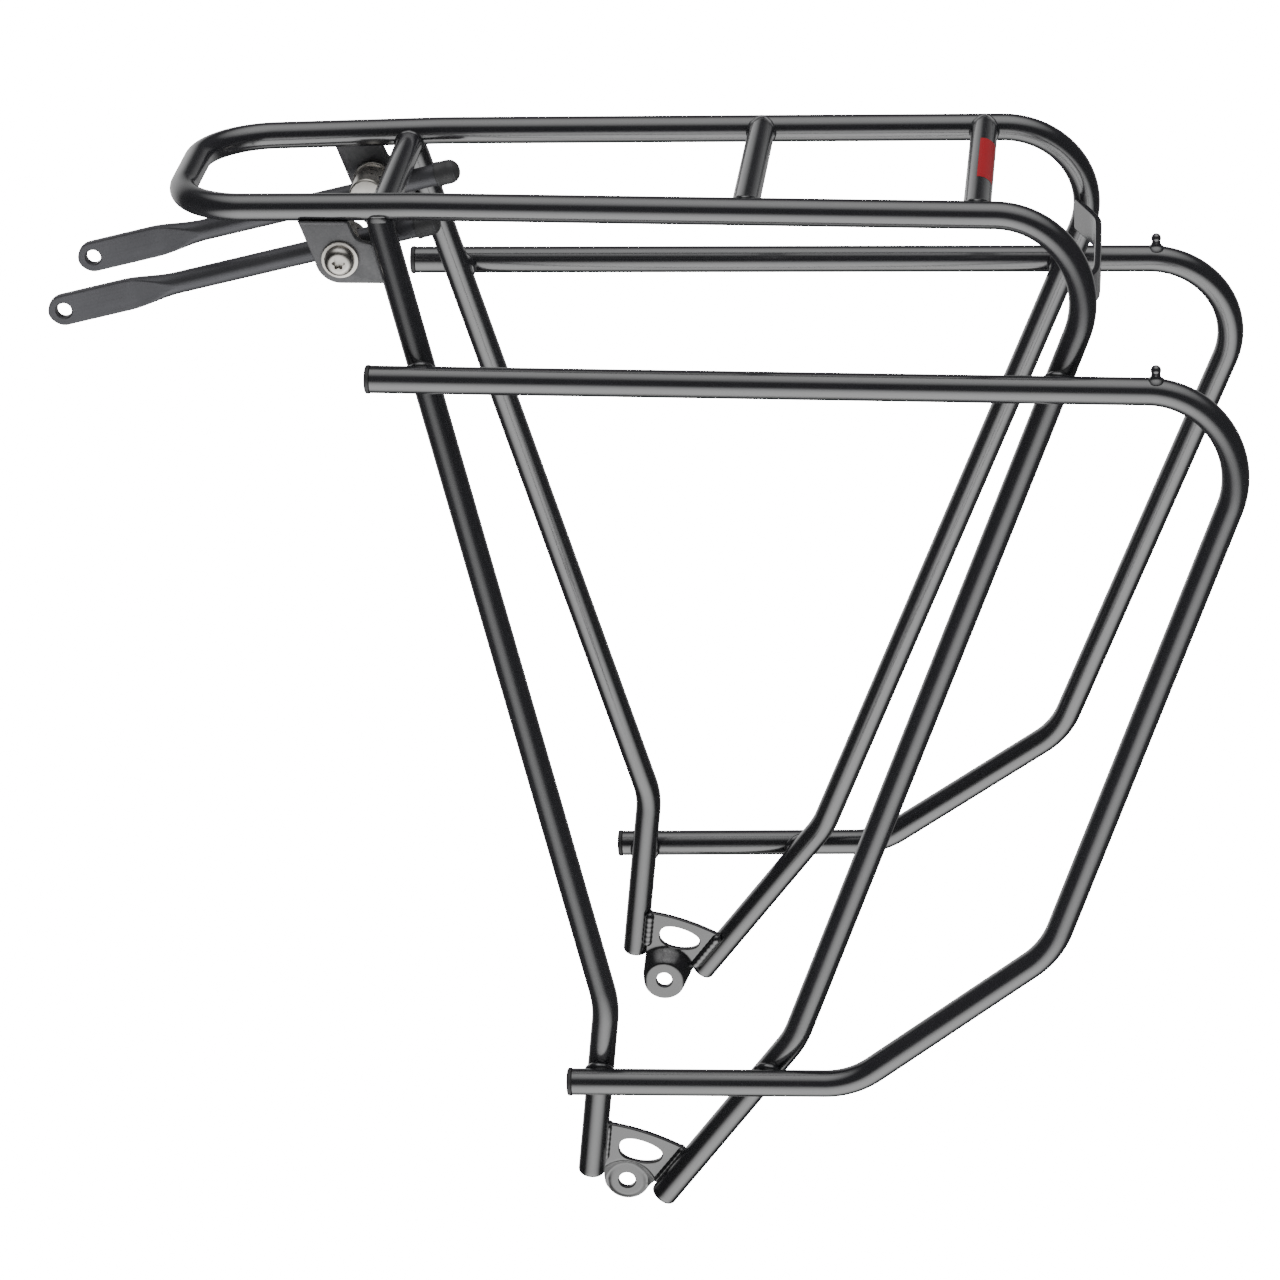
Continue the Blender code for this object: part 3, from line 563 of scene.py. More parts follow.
def add_tube(name, path, start=None, end=None, leg=False):
    """A tube whose ends run just under the skin of the tubes it is welded to, with a bead round each."""
    rings = tube_rings(path)
    tangents = path_tangents(path)
    if start:
        seam = coped(rings[0], -tangents[0], start, SEAM_GAP)
        mouth = coped(rings[0], -tangents[0], start, -SINK)
        if leg:
            shoulder = [point + tangents[0] * FRONT_LEG_NECK for point in mouth]
            seam = squeezed(seam, -tangents[0])
            mouth = squeezed(mouth, -tangents[0])
            rings.insert(1, shoulder)
        rings[0] = mouth
        radius = LEG_BEAD_RADIUS if leg else BEAD_RADIUS
        add_end_bead(f"weld_{name}_start", seam, -tangents[0], radius)
    if end:
        seam = coped(rings[-1], tangents[-1], end, SEAM_GAP)
        rings[-1] = coped(rings[-1], tangents[-1], end, -SINK)
        add_end_bead(f"weld_{name}_end", seam, tangents[-1], BEAD_RADIUS)
    add_piece(name + "_tube", skin(rings, capped=False), "black_powder_coat", replaces=[name])


def turned(profile, facets=TURNED_FACETS):
    """A profile of (radius, height) points spun round local Z."""
    bm = bmesh.new()
    verts = [bm.verts.new((radius, 0.0, height)) for radius, height in profile]
    edges = [bm.edges.new(pair) for pair in zip(verts, verts[1:])]
    bmesh.ops.spin(
        bm,
        geom=verts + edges,
        axis=(0, 0, 1),
        cent=(0, 0, 0),
        angle=2 * math.pi,
        steps=facets,
        use_duplicate=False,
    )
    bmesh.ops.remove_doubles(bm, verts=bm.verts, dist=0.001 * MM)
    return bm


def arc(centre, radius, start, end, steps):
    """Points of an arc, its angles in degrees."""
    points = []
    for step in range(steps + 1):
        angle = math.radians(start + (end - start) * step / steps)
        points.append((centre[0] + radius * math.cos(angle), centre[1] + radius * math.sin(angle)))
    return points


def eased(corners, radii, steps=4):
    """A profile whose inner corners are rounded by their radii; a zero radius stays sharp."""
    points = [corners[0]]
    for before, corner, after, radius in zip(corners, corners[1:], corners[2:], radii):
        corner = Vector(corner)
        into = (Vector(before) - corner).normalized() * radius
        out = (Vector(after) - corner).normalized() * radius
        for step in range(steps + 1 if radius else 1):
            share = step / steps
            point = corner + into * (1 - share) ** 2 + out * share**2
            points.append(tuple(point))
    points.append(corners[-1])
    return points


def resampled(points, spacing, closed):
    """The same line with evenly spaced points."""
    loop = points + [points[0]] if closed else points
    lengths = [0.0]
    for first, second in zip(loop, loop[1:]):
        lengths.append(lengths[-1] + (second - first).length)
    count = max(6, round(lengths[-1] / spacing))
    result = []
    index = 0
    for step in range(count if closed else count + 1):
        wanted = lengths[-1] * step / count
        while index < len(loop) - 2 and lengths[index + 1] < wanted:
            index += 1
        share = (wanted - lengths[index]) / (lengths[index + 1] - lengths[index])
        result.append(loop[index].lerp(loop[index + 1], share))
    return result


def bead_mesh(points, reference, radius=BEAD_RADIUS, closed=True):
    """A rippled weld bead along a line. Open beads taper to their ends."""
    line = resampled(points, BEAD_SPACING, closed)
    count = len(line)
    rings = []
    for index, centre in enumerate(line):
        before = line[index - 1] if closed or index else line[0]
        after = line[(index + 1) % count] if closed or index < count - 1 else line[-1]
        tangent = (after - before).normalized()
        across = (reference - tangent * reference.dot(tangent)).normalized()
        wave = math.cos(2 * math.pi * index * BEAD_SPACING / BEAD_PITCH)
        size = radius * (1 + BEAD_RIPPLE * wave)
        if not closed:
            end = min(index, count - 1 - index) * BEAD_SPACING / radius
            size *= math.sqrt(1 - (1 - min(end, 1.0)) ** 2) if end else OPEN_BEAD_TIP
        rings.append(ring_round(centre, across, tangent.cross(across), size, BEAD_FACETS))
    return skin(rings, closed)


def add_bead(name, points, reference, radius=BEAD_RADIUS, closed=True, slot="black_powder_coat"):
    add_piece(name, bead_mesh(points, reference, radius, closed), slot)


def add_end_bead(name, seam, direction, radius):
    """A bead round the end of a tube that meets another."""
    centre = sum(seam, Vector()) / len(seam)
    inward = [point.lerp(centre, END_BEAD_INSET) for point in seam]
    add_bead(name, inward, direction, radius)


def nearest_points(first, second):
    """The points of two lines that are nearest to each other."""
    a, b = first
    c, d = second
    u = (b - a).normalized()
    v = (d - c).normalized()
    w = a - c
    slope = u.dot(v)
    base = 1 - slope * slope
    s = (slope * v.dot(w) - u.dot(w)) / base
    t = (v.dot(w) - slope * u.dot(w)) / base
    return a + u * s, c + v * t


def add_contact_bead(name, first, second):
    """A bead round the spot where two tubes touch side by side."""
    on_first, on_second = nearest_points(first, second)
    normal = (on_second - on_first).normalized()
    middle = (on_first + on_second) / 2
    first_across = normal.cross((first[1] - first[0]).normalized())
    second_across = normal.cross((second[1] - second[0]).normalized())
    across = (first[1] - first[0]).normalized()
    upward = normal.cross(across)
    points = []
    for point in ring_round(Vector(), across, upward, CONTACT_BEAD_REACH, TUBE_FACETS):
        first_drop = TUBE_RADIUS - math.sqrt(TUBE_RADIUS**2 - point.dot(first_across) ** 2)
        second_drop = TUBE_RADIUS - math.sqrt(TUBE_RADIUS**2 - point.dot(second_across) ** 2)
        points.append(middle + point + normal * (second_drop - first_drop) / 2)
    add_bead(name, points, normal, CONTACT_BEAD_RADIUS)


def plate_mesh(outline, holes, thickness, edge, grid=None):
    """A flat plate with rounded edges in local XY, centred on Z = 0, with a grid of cuts if asked."""
    curve = bpy.data.curves.new("plate", "CURVE")
    curve.dimensions = "2D"
    curve.fill_mode = "BOTH"
    curve.extrude = thickness / 2 - edge
    curve.bevel_depth = edge
    curve.bevel_resolution = 3
    curve.offset = -edge
    for loop in [outline] + holes:
        spline = curve.splines.new("POLY")
        spline.points.add(len(loop) - 1)
        spline.use_cyclic_u = True
        for point, (x, y) in zip(spline.points, loop):
            point.co = (x, y, 0, 1)
    holder = bpy.data.objects.new("plate", curve)
    bpy.context.scene.collection.objects.link(holder)
    shape = holder.evaluated_get(bpy.context.evaluated_depsgraph_get())
    bm = bmesh.new()
    bm.from_mesh(shape.to_mesh())
    bpy.data.objects.remove(holder, do_unlink=True)
    bmesh.ops.remove_doubles(bm, verts=bm.verts, dist=0.002 * MM)
    if grid:
        cut_grid(bm, outline, grid)
    return bm


def cut_grid(bm, outline, grid):
    """Cuts a flat plate along evenly spaced lines, so that it can be bent."""
    for axis in (0, 1):
        normal = Vector((1 - axis, axis, 0))
        values = [point[axis] for point in outline]
        steps = math.ceil((max(values) - min(values)) / grid)
        for step in range(1, steps):
            place = normal * (min(values) + grid * step)
            geometry = bm.verts[:] + bm.edges[:] + bm.faces[:]
            bmesh.ops.bisect_plane(bm, geom=geometry, dist=0.01 * MM, plane_co=place, plane_no=normal)


def carve(obj, cutter_mesh, place):
    """Cuts a bmesh out of a piece for good."""
    mesh = bpy.data.meshes.new("cutter")
    bmesh.ops.recalc_face_normals(cutter_mesh, faces=cutter_mesh.faces)
    cutter_mesh.to_mesh(mesh)
    cutter_mesh.free()
    cutter = bpy.data.objects.new("cutter", mesh)
    bpy.context.scene.collection.objects.link(cutter)
    cutter.matrix_world = place
    modifier = obj.modifiers.new("carve", "BOOLEAN")
    modifier.object = cutter
    modifier.operation = "DIFFERENCE"
    bpy.context.view_layer.update()
    shape = obj.evaluated_get(bpy.context.evaluated_depsgraph_get())
    result = bpy.data.meshes.new_from_object(shape)
    obj.modifiers.clear()
    obj.data = result
    bpy.data.objects.remove(cutter, do_unlink=True)
    smooth(obj)


def prism(outline, low, high):
    """A straight solid over an outline in local XY, from low to high along Z."""
    rings = [[Vector((x, y, z)) for x, y in outline] for z in (low, high)]
    return skin(rings)


# ---------------------------------------------------------------- frame tubes


def front_leg_line(side):
    return placed(FRONT_LEG_TOP, side), placed(FRONT_LEG_BEND, side)


def rail_line(side):
    return placed(RAIL_KNEE, side), placed(REAR_CORNER, side)


def rail_nose_line(side):
    return placed(NOSE_CORNER, side), placed(RAIL_KNEE, side)


def rail_half_spacing(x):
    share = (x - RAIL_KNEE.x) / (REAR_CORNER.x - RAIL_KNEE.x)
    return RAIL_KNEE.lerp(REAR_CORNER, share).y


def add_frame_tubes():
    half = [REAR_LEG_END, REAR_LEG_BEND, REAR_CORNER, RAIL_KNEE, NOSE_CORNER]
    radii = [BEND_RADIUS, BEND_RADIUS, KNEE_RADIUS, NOSE_RADIUS]
    points = [placed(point, -1) for point in half] + [placed(point) for point in reversed(half)]
    add_tube("main_hoop", rounded_path(points, radii + radii[::-1]))
    for name, side in SIDES.items():
        points = [placed(p, side) for p in (FRONT_LEG_TOP, FRONT_LEG_BEND, FRONT_LEG_END)]
        rails = [rail_line(side), rail_nose_line(side)]
        path = rounded_path(points, [BEND_RADIUS])
        add_tube(f"front_leg_{name}", path, rails, leg=True)
        points = [placed(point, side) for point in LOOP_POINTS]
        add_tube(f"pannier_loop_{name}", rounded_path(points, [BEND_RADIUS] * 3))
    for name, x in CROSS_TUBE_X.items():
        half = rail_half_spacing(x)
        path = [placed((x, -half, RAIL_HEIGHT)), placed((x, half, RAIL_HEIGHT))]
        add_tube(f"cross_tube_{name}", path, [rail_line(-1)], [rail_line(1)])
    height = RAIL_HEIGHT - FRONT_CROSS_DROP
    half = FRONT_LEG_TOP.y
    path = [placed((FRONT_CROSS_X, -half, height)), placed((FRONT_CROSS_X, half, height))]
    left, right = [
        [rail_line(side), rail_nose_line(side), front_leg_line(side)] for side in (-1, 1)
    ]
    add_tube("cross_tube_front", path, left, right)


def add_loop_welds():
    """Beads where the pannier loops touch the legs."""
    front_upper = (FRONT_LEG_TOP, FRONT_LEG_BEND)
    front_lower = (FRONT_LEG_BEND, FRONT_LEG_END)
    rear_upper = (REAR_CORNER, REAR_LEG_BEND)
    rear_lower = (REAR_LEG_BEND, REAR_LEG_END)
    lower_rail = LOOP_POINTS[:2]
    bottom_rail = LOOP_POINTS[-2:]
    pairs = {
        "lower_front": (front_upper, lower_rail),
        "lower_rear": (rear_upper, lower_rail),
        "bottom_front": (front_lower, bottom_rail),
        "bottom_rear": (rear_lower, bottom_rail),
    }
    for title, (leg, rail) in pairs.items():
        for name, side in SIDES.items():
            leg_line = [placed(point, side) for point in leg]
            loop_line = [placed(point, side) for point in rail]
            add_contact_bead(f"weld_{title}_{name}", leg_line, loop_line)


def end_place(inside, end, side):
    """A place at a tube's end whose local Z points out of it."""
    tip = placed(end, side)
    outward = (tip - placed(inside, side)).normalized()
    return Matrix.Translation(tip) @ outward.to_track_quat("Z", "Y").to_matrix().to_4x4()


def plug_profile():
    """A thin neck, then a lipped head with eased rims and a domed face."""
    neck = TUBE_RADIUS - PLUG_NECK_INSET
    lip = TUBE_RADIUS + PLUG_LIP
    shoulder = PLUG_HEAD - PLUG_DOME
    corners = [(0.0, -SINK), (neck, -SINK), (neck, PLUG_GROOVE), (lip, PLUG_GROOVE), (lip, shoulder)]
    dome = [(0.85 * lip, shoulder + 0.5 * PLUG_DOME), (0.5 * lip, PLUG_HEAD - 0.1 * PLUG_DOME)]
    corners += dome + [(0.0, PLUG_HEAD)]
    return eased(corners, PLUG_EASES)


def leg_cap_profile():
    """Rounds off the foot of a leg, flush with the tube."""
    shoulder = LEG_CAP_HEIGHT - LEG_CAP_ROUNDING
    centre = (TUBE_RADIUS - LEG_CAP_ROUNDING, shoulder - LEG_CAP_INSET)
    profile = [(0.0, -SINK), (TUBE_RADIUS, -SINK)]
    profile += arc(centre, LEG_CAP_ROUNDING, 0, 75, 8)
    profile.append((0.0, LEG_CAP_HEIGHT))
    return profile


def add_tube_ends():
    ends = {
        "lower_rail_plug": (LOOP_POINTS[1], LOOP_POINTS[0], plug_profile(), "black_plastic"),
        "bottom_rail_plug": (LOOP_POINTS[-2], LOOP_POINTS[-1], plug_profile(), "black_plastic"),
        "rear_leg_cap": (REAR_LEG_BEND, REAR_LEG_END, leg_cap_profile(), "black_powder_coat"),
        "front_leg_cap": (FRONT_LEG_BEND, FRONT_LEG_END, leg_cap_profile(), "black_powder_coat"),
    }
    for title, (inside, end, profile, slot) in ends.items():
        for name, side in SIDES.items():
            place = end_place(inside, end, side)
            bm = turned(profile, TUBE_FACETS)
            add_piece(f"{title}_{name}_head", bm, slot, replaces=[f"{title}_{name}"], place=place)


def add_stop_pegs():
    """Round-topped pegs, each with a waist and a weld fillet at its foot."""
    front, rear = LOOP_POINTS[:2]
    foot = front.lerp(rear, (STOP_PEG_X - front.x) / (rear.x - front.x)) + Vector((0, 0, TUBE_RADIUS))
    profile = [(0.0, -STOP_PEG_FOOT), (STOP_PEG_RADIUS + STOP_PEG_FLARE, -STOP_PEG_FOOT)]
    fillet = STOP_PEG_FLARE + STOP_PEG_WAIST
    profile += arc((STOP_PEG_RADIUS + STOP_PEG_FLARE, STOP_PEG_FLARE), fillet, 250, 180, 7)
    top = STOP_PEG_HEIGHT + GAP
    profile += arc((0, top - STOP_PEG_CROWN), STOP_PEG_CROWN, -35, 90, 10)
    for name, side in SIDES.items():
        place = Matrix.Translation(placed(foot, side))
        bm = turned(profile, TUBE_FACETS)
        add_piece(f"peg_{name}", bm, "black_powder_coat", replaces=[f"stop_peg_{name}"], place=place)


# ---------------------------------------------------------------- plates


def point_at_height(start, end, z):
    return start.lerp(end, (z - start.z) / (end.z - start.z))


def beside_leg(start, end, z, forward, overlap=PLATE_OVERLAP):
    """A point level with z on the edge of a plate that runs a little under a leg's skin."""
    on_axis = point_at_height(start, end, z)
    slope = end - start
    offset = (TUBE_RADIUS - overlap) * math.hypot(slope.x, slope.z) / abs(slope.z)
    return (on_axis.x + forward * offset, z)


def ellipse(centre, half_axes, tilt, steps=48):
    points = []
    for step in range(steps):
        angle = 2 * math.pi * step / steps
        along = half_axes[0] * math.cos(angle)
        across = half_axes[1] * math.sin(angle)
        x = centre[0] + along * math.cos(tilt) - across * math.sin(tilt)
        y = centre[1] + along * math.sin(tilt) + across * math.cos(tilt)
        points.append((x, y))
    return points


def eyelet_outline():
    """Arched on top, down the rear leg, round the eyelet, up the front leg."""
    top_front = beside_leg(FRONT_LEG_BEND, FRONT_LEG_END, PLATE_TOP_FRONT_Z, 1)
    top_rear = beside_leg(REAR_LEG_BEND, REAR_LEG_END, PLATE_TOP_REAR_Z, -1)
    rear_low = beside_leg(REAR_LEG_BEND, REAR_LEG_END, PLATE_REAR_LOW_Z, -1)
    front_low = beside_leg(FRONT_LEG_BEND, FRONT_LEG_END, PLATE_FRONT_LOW_Z, 1)
    outline = []
    steps = 24
    for step in range(steps + 1):
        share = step / steps
        x = top_front[0] + (top_rear[0] - top_front[0]) * share
        z = top_front[1] + (top_rear[1] - top_front[1]) * share
        outline.append((x, z + PLATE_ARCH_RISE * 4 * share * (1 - share)))
    outline.append(rear_low)
    outline += arc((0, 0), EYELET_TAB_RADIUS, EYELET_TAB_START, -180, 36)
    outline.append(front_low)
    return outline


def smoothstep(value, low, high):
    share = min(max((value - low) / (high - low), 0.0), 1.0)
    return share * share * (3 - 2 * share)


def window_outline():
    """An opening flatter on top than below, and narrower towards the back."""
    points = []
    steps = 48
    for step in range(steps):
        angle = 2 * math.pi * step / steps
        height = WINDOW_HALF_HEIGHTS["above" if math.sin(angle) > 0 else "below"]
        along = WINDOW_HALF_LENGTH * math.cos(angle)
        across = height * math.copysign(abs(math.sin(angle)) ** WINDOW_BLUNTNESS, math.sin(angle))
        across *= 1 - WINDOW_TAPER * math.cos(angle)
        x = WINDOW_CENTRE[0] + along * math.cos(WINDOW_TILT) - across * math.sin(WINDOW_TILT)
        y = WINDOW_CENTRE[1] + along * math.sin(WINDOW_TILT) + across * math.cos(WINDOW_TILT)
        points.append((x, y))
    return points


def dish_depth(x, z):
    """Depth of the dish round the hole, which runs out open below it."""
    radius = math.hypot(x, max(z, 0.0))
    return EYELET_DISH_DEPTH * (1 - smoothstep(radius, EYELET_DISH_FLOOR_RADIUS, EYELET_DISH_RIM_RADIUS))


def eyelet_warp(point):
    """How far inwards a point is pressed: a dish round the hole, whose lower rim also falls away."""
    radius = math.hypot(point.x, point.y)
    depth = dish_depth(point.x, point.y)
    if point.z > 0:
        below = 1 - smoothstep(point.y, 0.0, EYELET_SEAT_FADE)
        depth += EYELET_SEAT_DROP * below * smoothstep(radius, EYELET_SEAT_RADIUS, EYELET_TAB_RADIUS)
    return depth


def add_eyelet_plates():
    window = window_outline()
    hole = ellipse((0, 0), (EYELET_HOLE_RADIUS, EYELET_HOLE_RADIUS), 0)
    for name, side in SIDES.items():
        bm = plate_mesh(eyelet_outline(), [window, hole], EYELET_THICKNESS, PLATE_EDGE, PLATE_GRID)
        for vert in bm.verts:
            outward = EYELET_PLATE_Y + vert.co.z - eyelet_warp(vert.co)
            vert.co = placed((vert.co.x, outward, vert.co.y), side)
        add_piece(f"eyelet_{name}", bm, "black_powder_coat", replaces=[f"eyelet_plate_{name}"])
        add_eyelet_beads(name, side)


def add_eyelet_beads(name, side):
    """Beads between the plate's two straight edges and the legs, wider on the inner face."""
    edges = {
        "front": (FRONT_LEG_BEND, FRONT_LEG_END, PLATE_TOP_FRONT_Z, FRONT_BEAD_LOW_Z, 1),
        "rear": (REAR_LEG_BEND, REAR_LEG_END, PLATE_TOP_REAR_Z, REAR_BEAD_LOW_Z, -1),
    }
    for title, (start, end, top, low, forward) in edges.items():
        for face, offset in {"outer": 1.0, "inner": -1.0}.items():
            points = []
            steps = 12
            for step in range(steps + 1):
                z = top + (low - top) * step / steps
                x, z = beside_leg(start, end, z, forward, EDGE_BEAD_OVERLAP)
                y = EYELET_PLATE_Y + offset * EYELET_THICKNESS / 2 - dish_depth(x, z)
                points.append(placed((x, y, z), side))
            radius = EYELET_BEAD_RADIUS[face]
            weld = f"weld_eyelet_{title}_{face}_{name}"
            add_bead(weld, points, Vector((0, 1, 0)), radius, closed=False)


def rounded_rectangle(half_width, half_height, radius):
    points = []
    for x, y, start in ((1, 1, 0), (-1, 1, 90), (-1, -1, 180), (1, -1, 270)):
        centre = (x * (half_width - radius), y * (half_height - radius))
        points += arc(centre, radius, start, start + 90, 8)
    return points


def add_light_plate():
    """The strip is drawn flat, in local (Y, Z), and its arms are then bent forward."""
    arm_x, arm_y = LIGHT_ARM_END
    arm_y += SINK
    outline = rounded_rectangle(arm_y, LIGHT_PLATE_HALF_HEIGHT, LIGHT_PLATE_CORNER)
    spacing = LIGHT_HOLE_SPACING / 2
    round_hole = (LIGHT_HOLE_RADIUS, LIGHT_HOLE_RADIUS)
    holes = [ellipse((place, 0), round_hole, 0) for place in (-spacing, spacing)]
    bm = plate_mesh(outline, holes, LIGHT_PLATE_THICKNESS, PLATE_EDGE, LIGHT_PLATE_GRID)
    slope = (LIGHT_PLATE_X - arm_x) / (arm_y - LIGHT_PLATE_HALF_FLAT)
    for vert in bm.verts:
        past = abs(vert.co.x) - LIGHT_PLATE_HALF_FLAT
        bend = slope * (math.hypot(past, LIGHT_PLATE_BEND) + past - LIGHT_PLATE_BEND) / 2
        x = LIGHT_PLATE_X + vert.co.z - bend
        vert.co = placed((x, vert.co.x, LIGHT_PLATE_Z + vert.co.y))
    add_piece("light_strip", bm, "black_powder_coat", replaces=["light_plate"])


def bracket_outline():
    """Hangs under the rail, rounds the clamp bolt and runs back to the front leg."""
    tail_top = beside_leg(FRONT_LEG_TOP, FRONT_LEG_BEND, BRACKET_TAIL_TOP_Z, -1)
    tail_low = beside_leg(FRONT_LEG_TOP, FRONT_LEG_BEND, BRACKET_TAIL_LOW_Z, -1)
    centre = (CLAMP_AXIS.x, CLAMP_AXIS.z)
    top = BRACKET_TOP_Z + GAP + SINK
    corners = [
        (BRACKET_TOP_FRONT_X, top),
        (BRACKET_TOP_REAR_X, top),
        BRACKET_NOTCH,
        tail_top,
        tail_low,
    ]
    outline = eased(corners, [0, BRACKET_NOTCH_ROUNDING, 0])
    outline += arc(centre, BRACKET_LOBE_RADIUS, -90, math.degrees(BRACKET_LOBE_END), 24)
    return [(x - centre[0], z - centre[1]) for x, z in outline]


def add_brackets():
    upright = Matrix.Rotation(math.pi / 2, 4, "X")
    hole = ellipse((0, 0), (BRACKET_HOLE_RADIUS, BRACKET_HOLE_RADIUS), 0)
    for name, side in SIDES.items():
        bm = plate_mesh(bracket_outline(), [hole], BRACKET_THICKNESS, PLATE_EDGE)
        place = Matrix.Translation(placed(CLAMP_AXIS + Vector((0, BRACKET_Y, 0)), side)) @ upright
        title = f"bracket_{name}"
        node = f"strut_bracket_{name}"
        add_piece(title, bm, "satin_black_steel", replaces=[node], place=place)
        add_bracket_beads(name, side)


def add_bracket_beads(name, side):
    """Fine beads under the rail and along the front leg, on both faces of a bracket."""
    for face, offset in {"outer": 1.0, "inner": -1.0}.items():
        y = BRACKET_Y + offset * BRACKET_THICKNESS / 2
        top = BRACKET_TOP_Z + GAP
        ends = (BRACKET_TOP_FRONT_X + BRACKET_BEAD_INSET, BRACKET_TOP_REAR_X - BRACKET_BEAD_INSET)
        seams = {"rail": [placed((x, y, top), side) for x in ends], "leg": []}
        for z in (BRACKET_TAIL_TOP_Z, BRACKET_TAIL_LOW_Z):
            x, z = beside_leg(FRONT_LEG_TOP, FRONT_LEG_BEND, z, -1, EDGE_BEAD_OVERLAP)
            seams["leg"].append(placed((x, y, z), side))
        for title, points in seams.items():
            weld = f"weld_bracket_{title}_{face}_{name}"
            radius = PLATE_BEAD_RADIUS
            add_bead(weld, points, Vector((0, 1, 0)), radius, closed=False, slot="satin_black_steel")


# ---------------------------------------------------------------- clamps and struts


def barrel_profile():
    """From the strut side out: body, flange, collar and the neck in the bracket."""
    seat = BRACKET_Y - BRACKET_THICKNESS / 2 - GAP
    outer_face = BRACKET_Y + BRACKET_THICKNESS / 2
    flange_out = seat - BARREL_COLLAR_LENGTH
    flange_in = flange_out - BARREL_FLANGE_LENGTH
    body_end = STRUT_Y - BARREL_BODY_RADIUS
    soft = BARREL_EASE
    corners = [
        (0.0, body_end),
        (BARREL_BODY_RADIUS, body_end),
        (BARREL_BODY_RADIUS, flange_in),
        (BARREL_FLANGE_RADIUS, flange_in),
        (BARREL_FLANGE_RADIUS, flange_out),
        (BARREL_COLLAR_RADIUS, flange_out),
        (BARREL_COLLAR_RADIUS, seat),
        (BARREL_NECK_RADIUS, seat),
        (BARREL_NECK_RADIUS, outer_face),
        (0.0, outer_face),
    ]
    return eased(corners, [BARREL_CHAMFER, soft, soft, soft, soft, soft, 0, soft])


def washer_profile():
    seat = BRACKET_Y + BRACKET_THICKNESS / 2 + GAP / 2
    top = seat + WASHER_THICKNESS + GAP / 2
    corners = [
        (0.0, seat),
        (WASHER_RADIUS, seat),
        (WASHER_RADIUS, top),
        (0.0, top),
    ]
    return eased(corners, [WASHER_EASE, WASHER_EASE])


def bolt_seat():
    return BRACKET_Y + BRACKET_THICKNESS / 2 + WASHER_THICKNESS + GAP


def bolt_profile():
    """A button head: a short rim, then a crown that ends in a flat top."""
    seat = bolt_seat()
    top = seat + BOLT_HEAD_HEIGHT + GAP
    profile = [
        (0.0, seat),
        (BOLT_HEAD_RADIUS - BOLT_HEAD_CHAMFER, seat),
        (BOLT_HEAD_RADIUS, seat + BOLT_HEAD_CHAMFER),
    ]
    crown = top - seat - BOLT_HEAD_RIM
    steps = 14
    for step in range(steps + 1):
        angle = math.pi / 2 * step / steps
        radius = BOLT_HEAD_FLAT + (BOLT_HEAD_RADIUS - BOLT_HEAD_FLAT) * math.cos(angle)
        profile.append((radius, seat + BOLT_HEAD_RIM + crown * math.sin(angle)))
    profile.append((0.0, top))
    return profile


def six_lobes():
    """The outline of a six-lobed socket."""
    points = []
    steps = 96
    for step in range(steps):
        angle = 2 * math.pi * step / steps
        radius = SOCKET_RADIUS + SOCKET_LOBE * math.cos(6 * angle)
        points.append((radius * math.cos(angle), radius * math.sin(angle)))
    return points


def outward_place(side):
    """A place on the clamps' axis, in the rack's middle, whose local Z points out to one side."""
    return Matrix.Translation(placed(CLAMP_AXIS)) @ Matrix.Rotation(-side * math.pi / 2, 4, "X")


def add_clamps():
    for name, side in SIDES.items():
        body = f"clamp_{name}"
        place = outward_place(side)
        steel = "stainless_steel"
        node = f"clamp_washer_{name}"
        add_piece(f"washer_{name}", turned(washer_profile()), steel, body, [node], place)
        node = f"clamp_bolt_{name}"
        bolt = add_piece(f"bolt_{name}", turned(bolt_profile()), steel, body, [node], place)
        top = bolt_seat() + BOLT_HEAD_HEIGHT + GAP
        carve(bolt, prism(six_lobes(), top - SOCKET_DEPTH, top + SOCKET_DEPTH), place)
        node = f"clamp_barrel_{name}"
        barrel = add_piece(f"barrel_{name}", turned(barrel_profile()), steel, body, [node], place)
        bore = ellipse((0, 0), (STRUT_BORE_RADIUS, STRUT_BORE_RADIUS), 0)
        length = 2 * BARREL_BODY_RADIUS
        along = strut_place(side) @ Matrix.Rotation(math.pi / 2, 4, "Y")
        carve(barrel, prism(bore, -length, length), along)


def strut_place(side):
    """A place where a strut crosses its clamp's axis, local X running back along the strut."""
    centre = placed(CLAMP_AXIS + Vector((0, STRUT_Y, 0)), side)
    return Matrix.Translation(centre) @ Matrix.Rotation(-STRUT_TILT, 4, "Y")


def strut_sections():
    """(place along the strut, half width, half thickness) from the tip of the eye to the tail."""
    sections = []
    tip_steps = 18
    for step in range(1, tip_steps + 1):
        angle = math.pi / 2 * step / tip_steps
        place = -STRUT_EYE_REACH - STRUT_EYE_HALF_WIDTH * math.cos(angle)
        sections.append((place, STRUT_EYE_HALF_WIDTH * math.sin(angle), STRUT_EYE_HALF_THICKNESS))
    flat_end = -STRUT_EYE_REACH + STRUT_FLAT_LENGTH
    blend_steps = 16
    for step in range(blend_steps + 1):
        share = step / blend_steps
        ease = smoothstep(share, 0.0, 1.0)
        width = STRUT_EYE_HALF_WIDTH + (STRUT_RADIUS - STRUT_EYE_HALF_WIDTH) * ease
        thickness = STRUT_EYE_HALF_THICKNESS + (STRUT_RADIUS - STRUT_EYE_HALF_THICKNESS) * ease
        sections.append((flat_end + STRUT_BLEND_LENGTH * share, width, thickness))
    sections.append((STRUT_TAIL_REACH - STRUT_TAIL_INSET, STRUT_RADIUS, STRUT_RADIUS))
    return sections


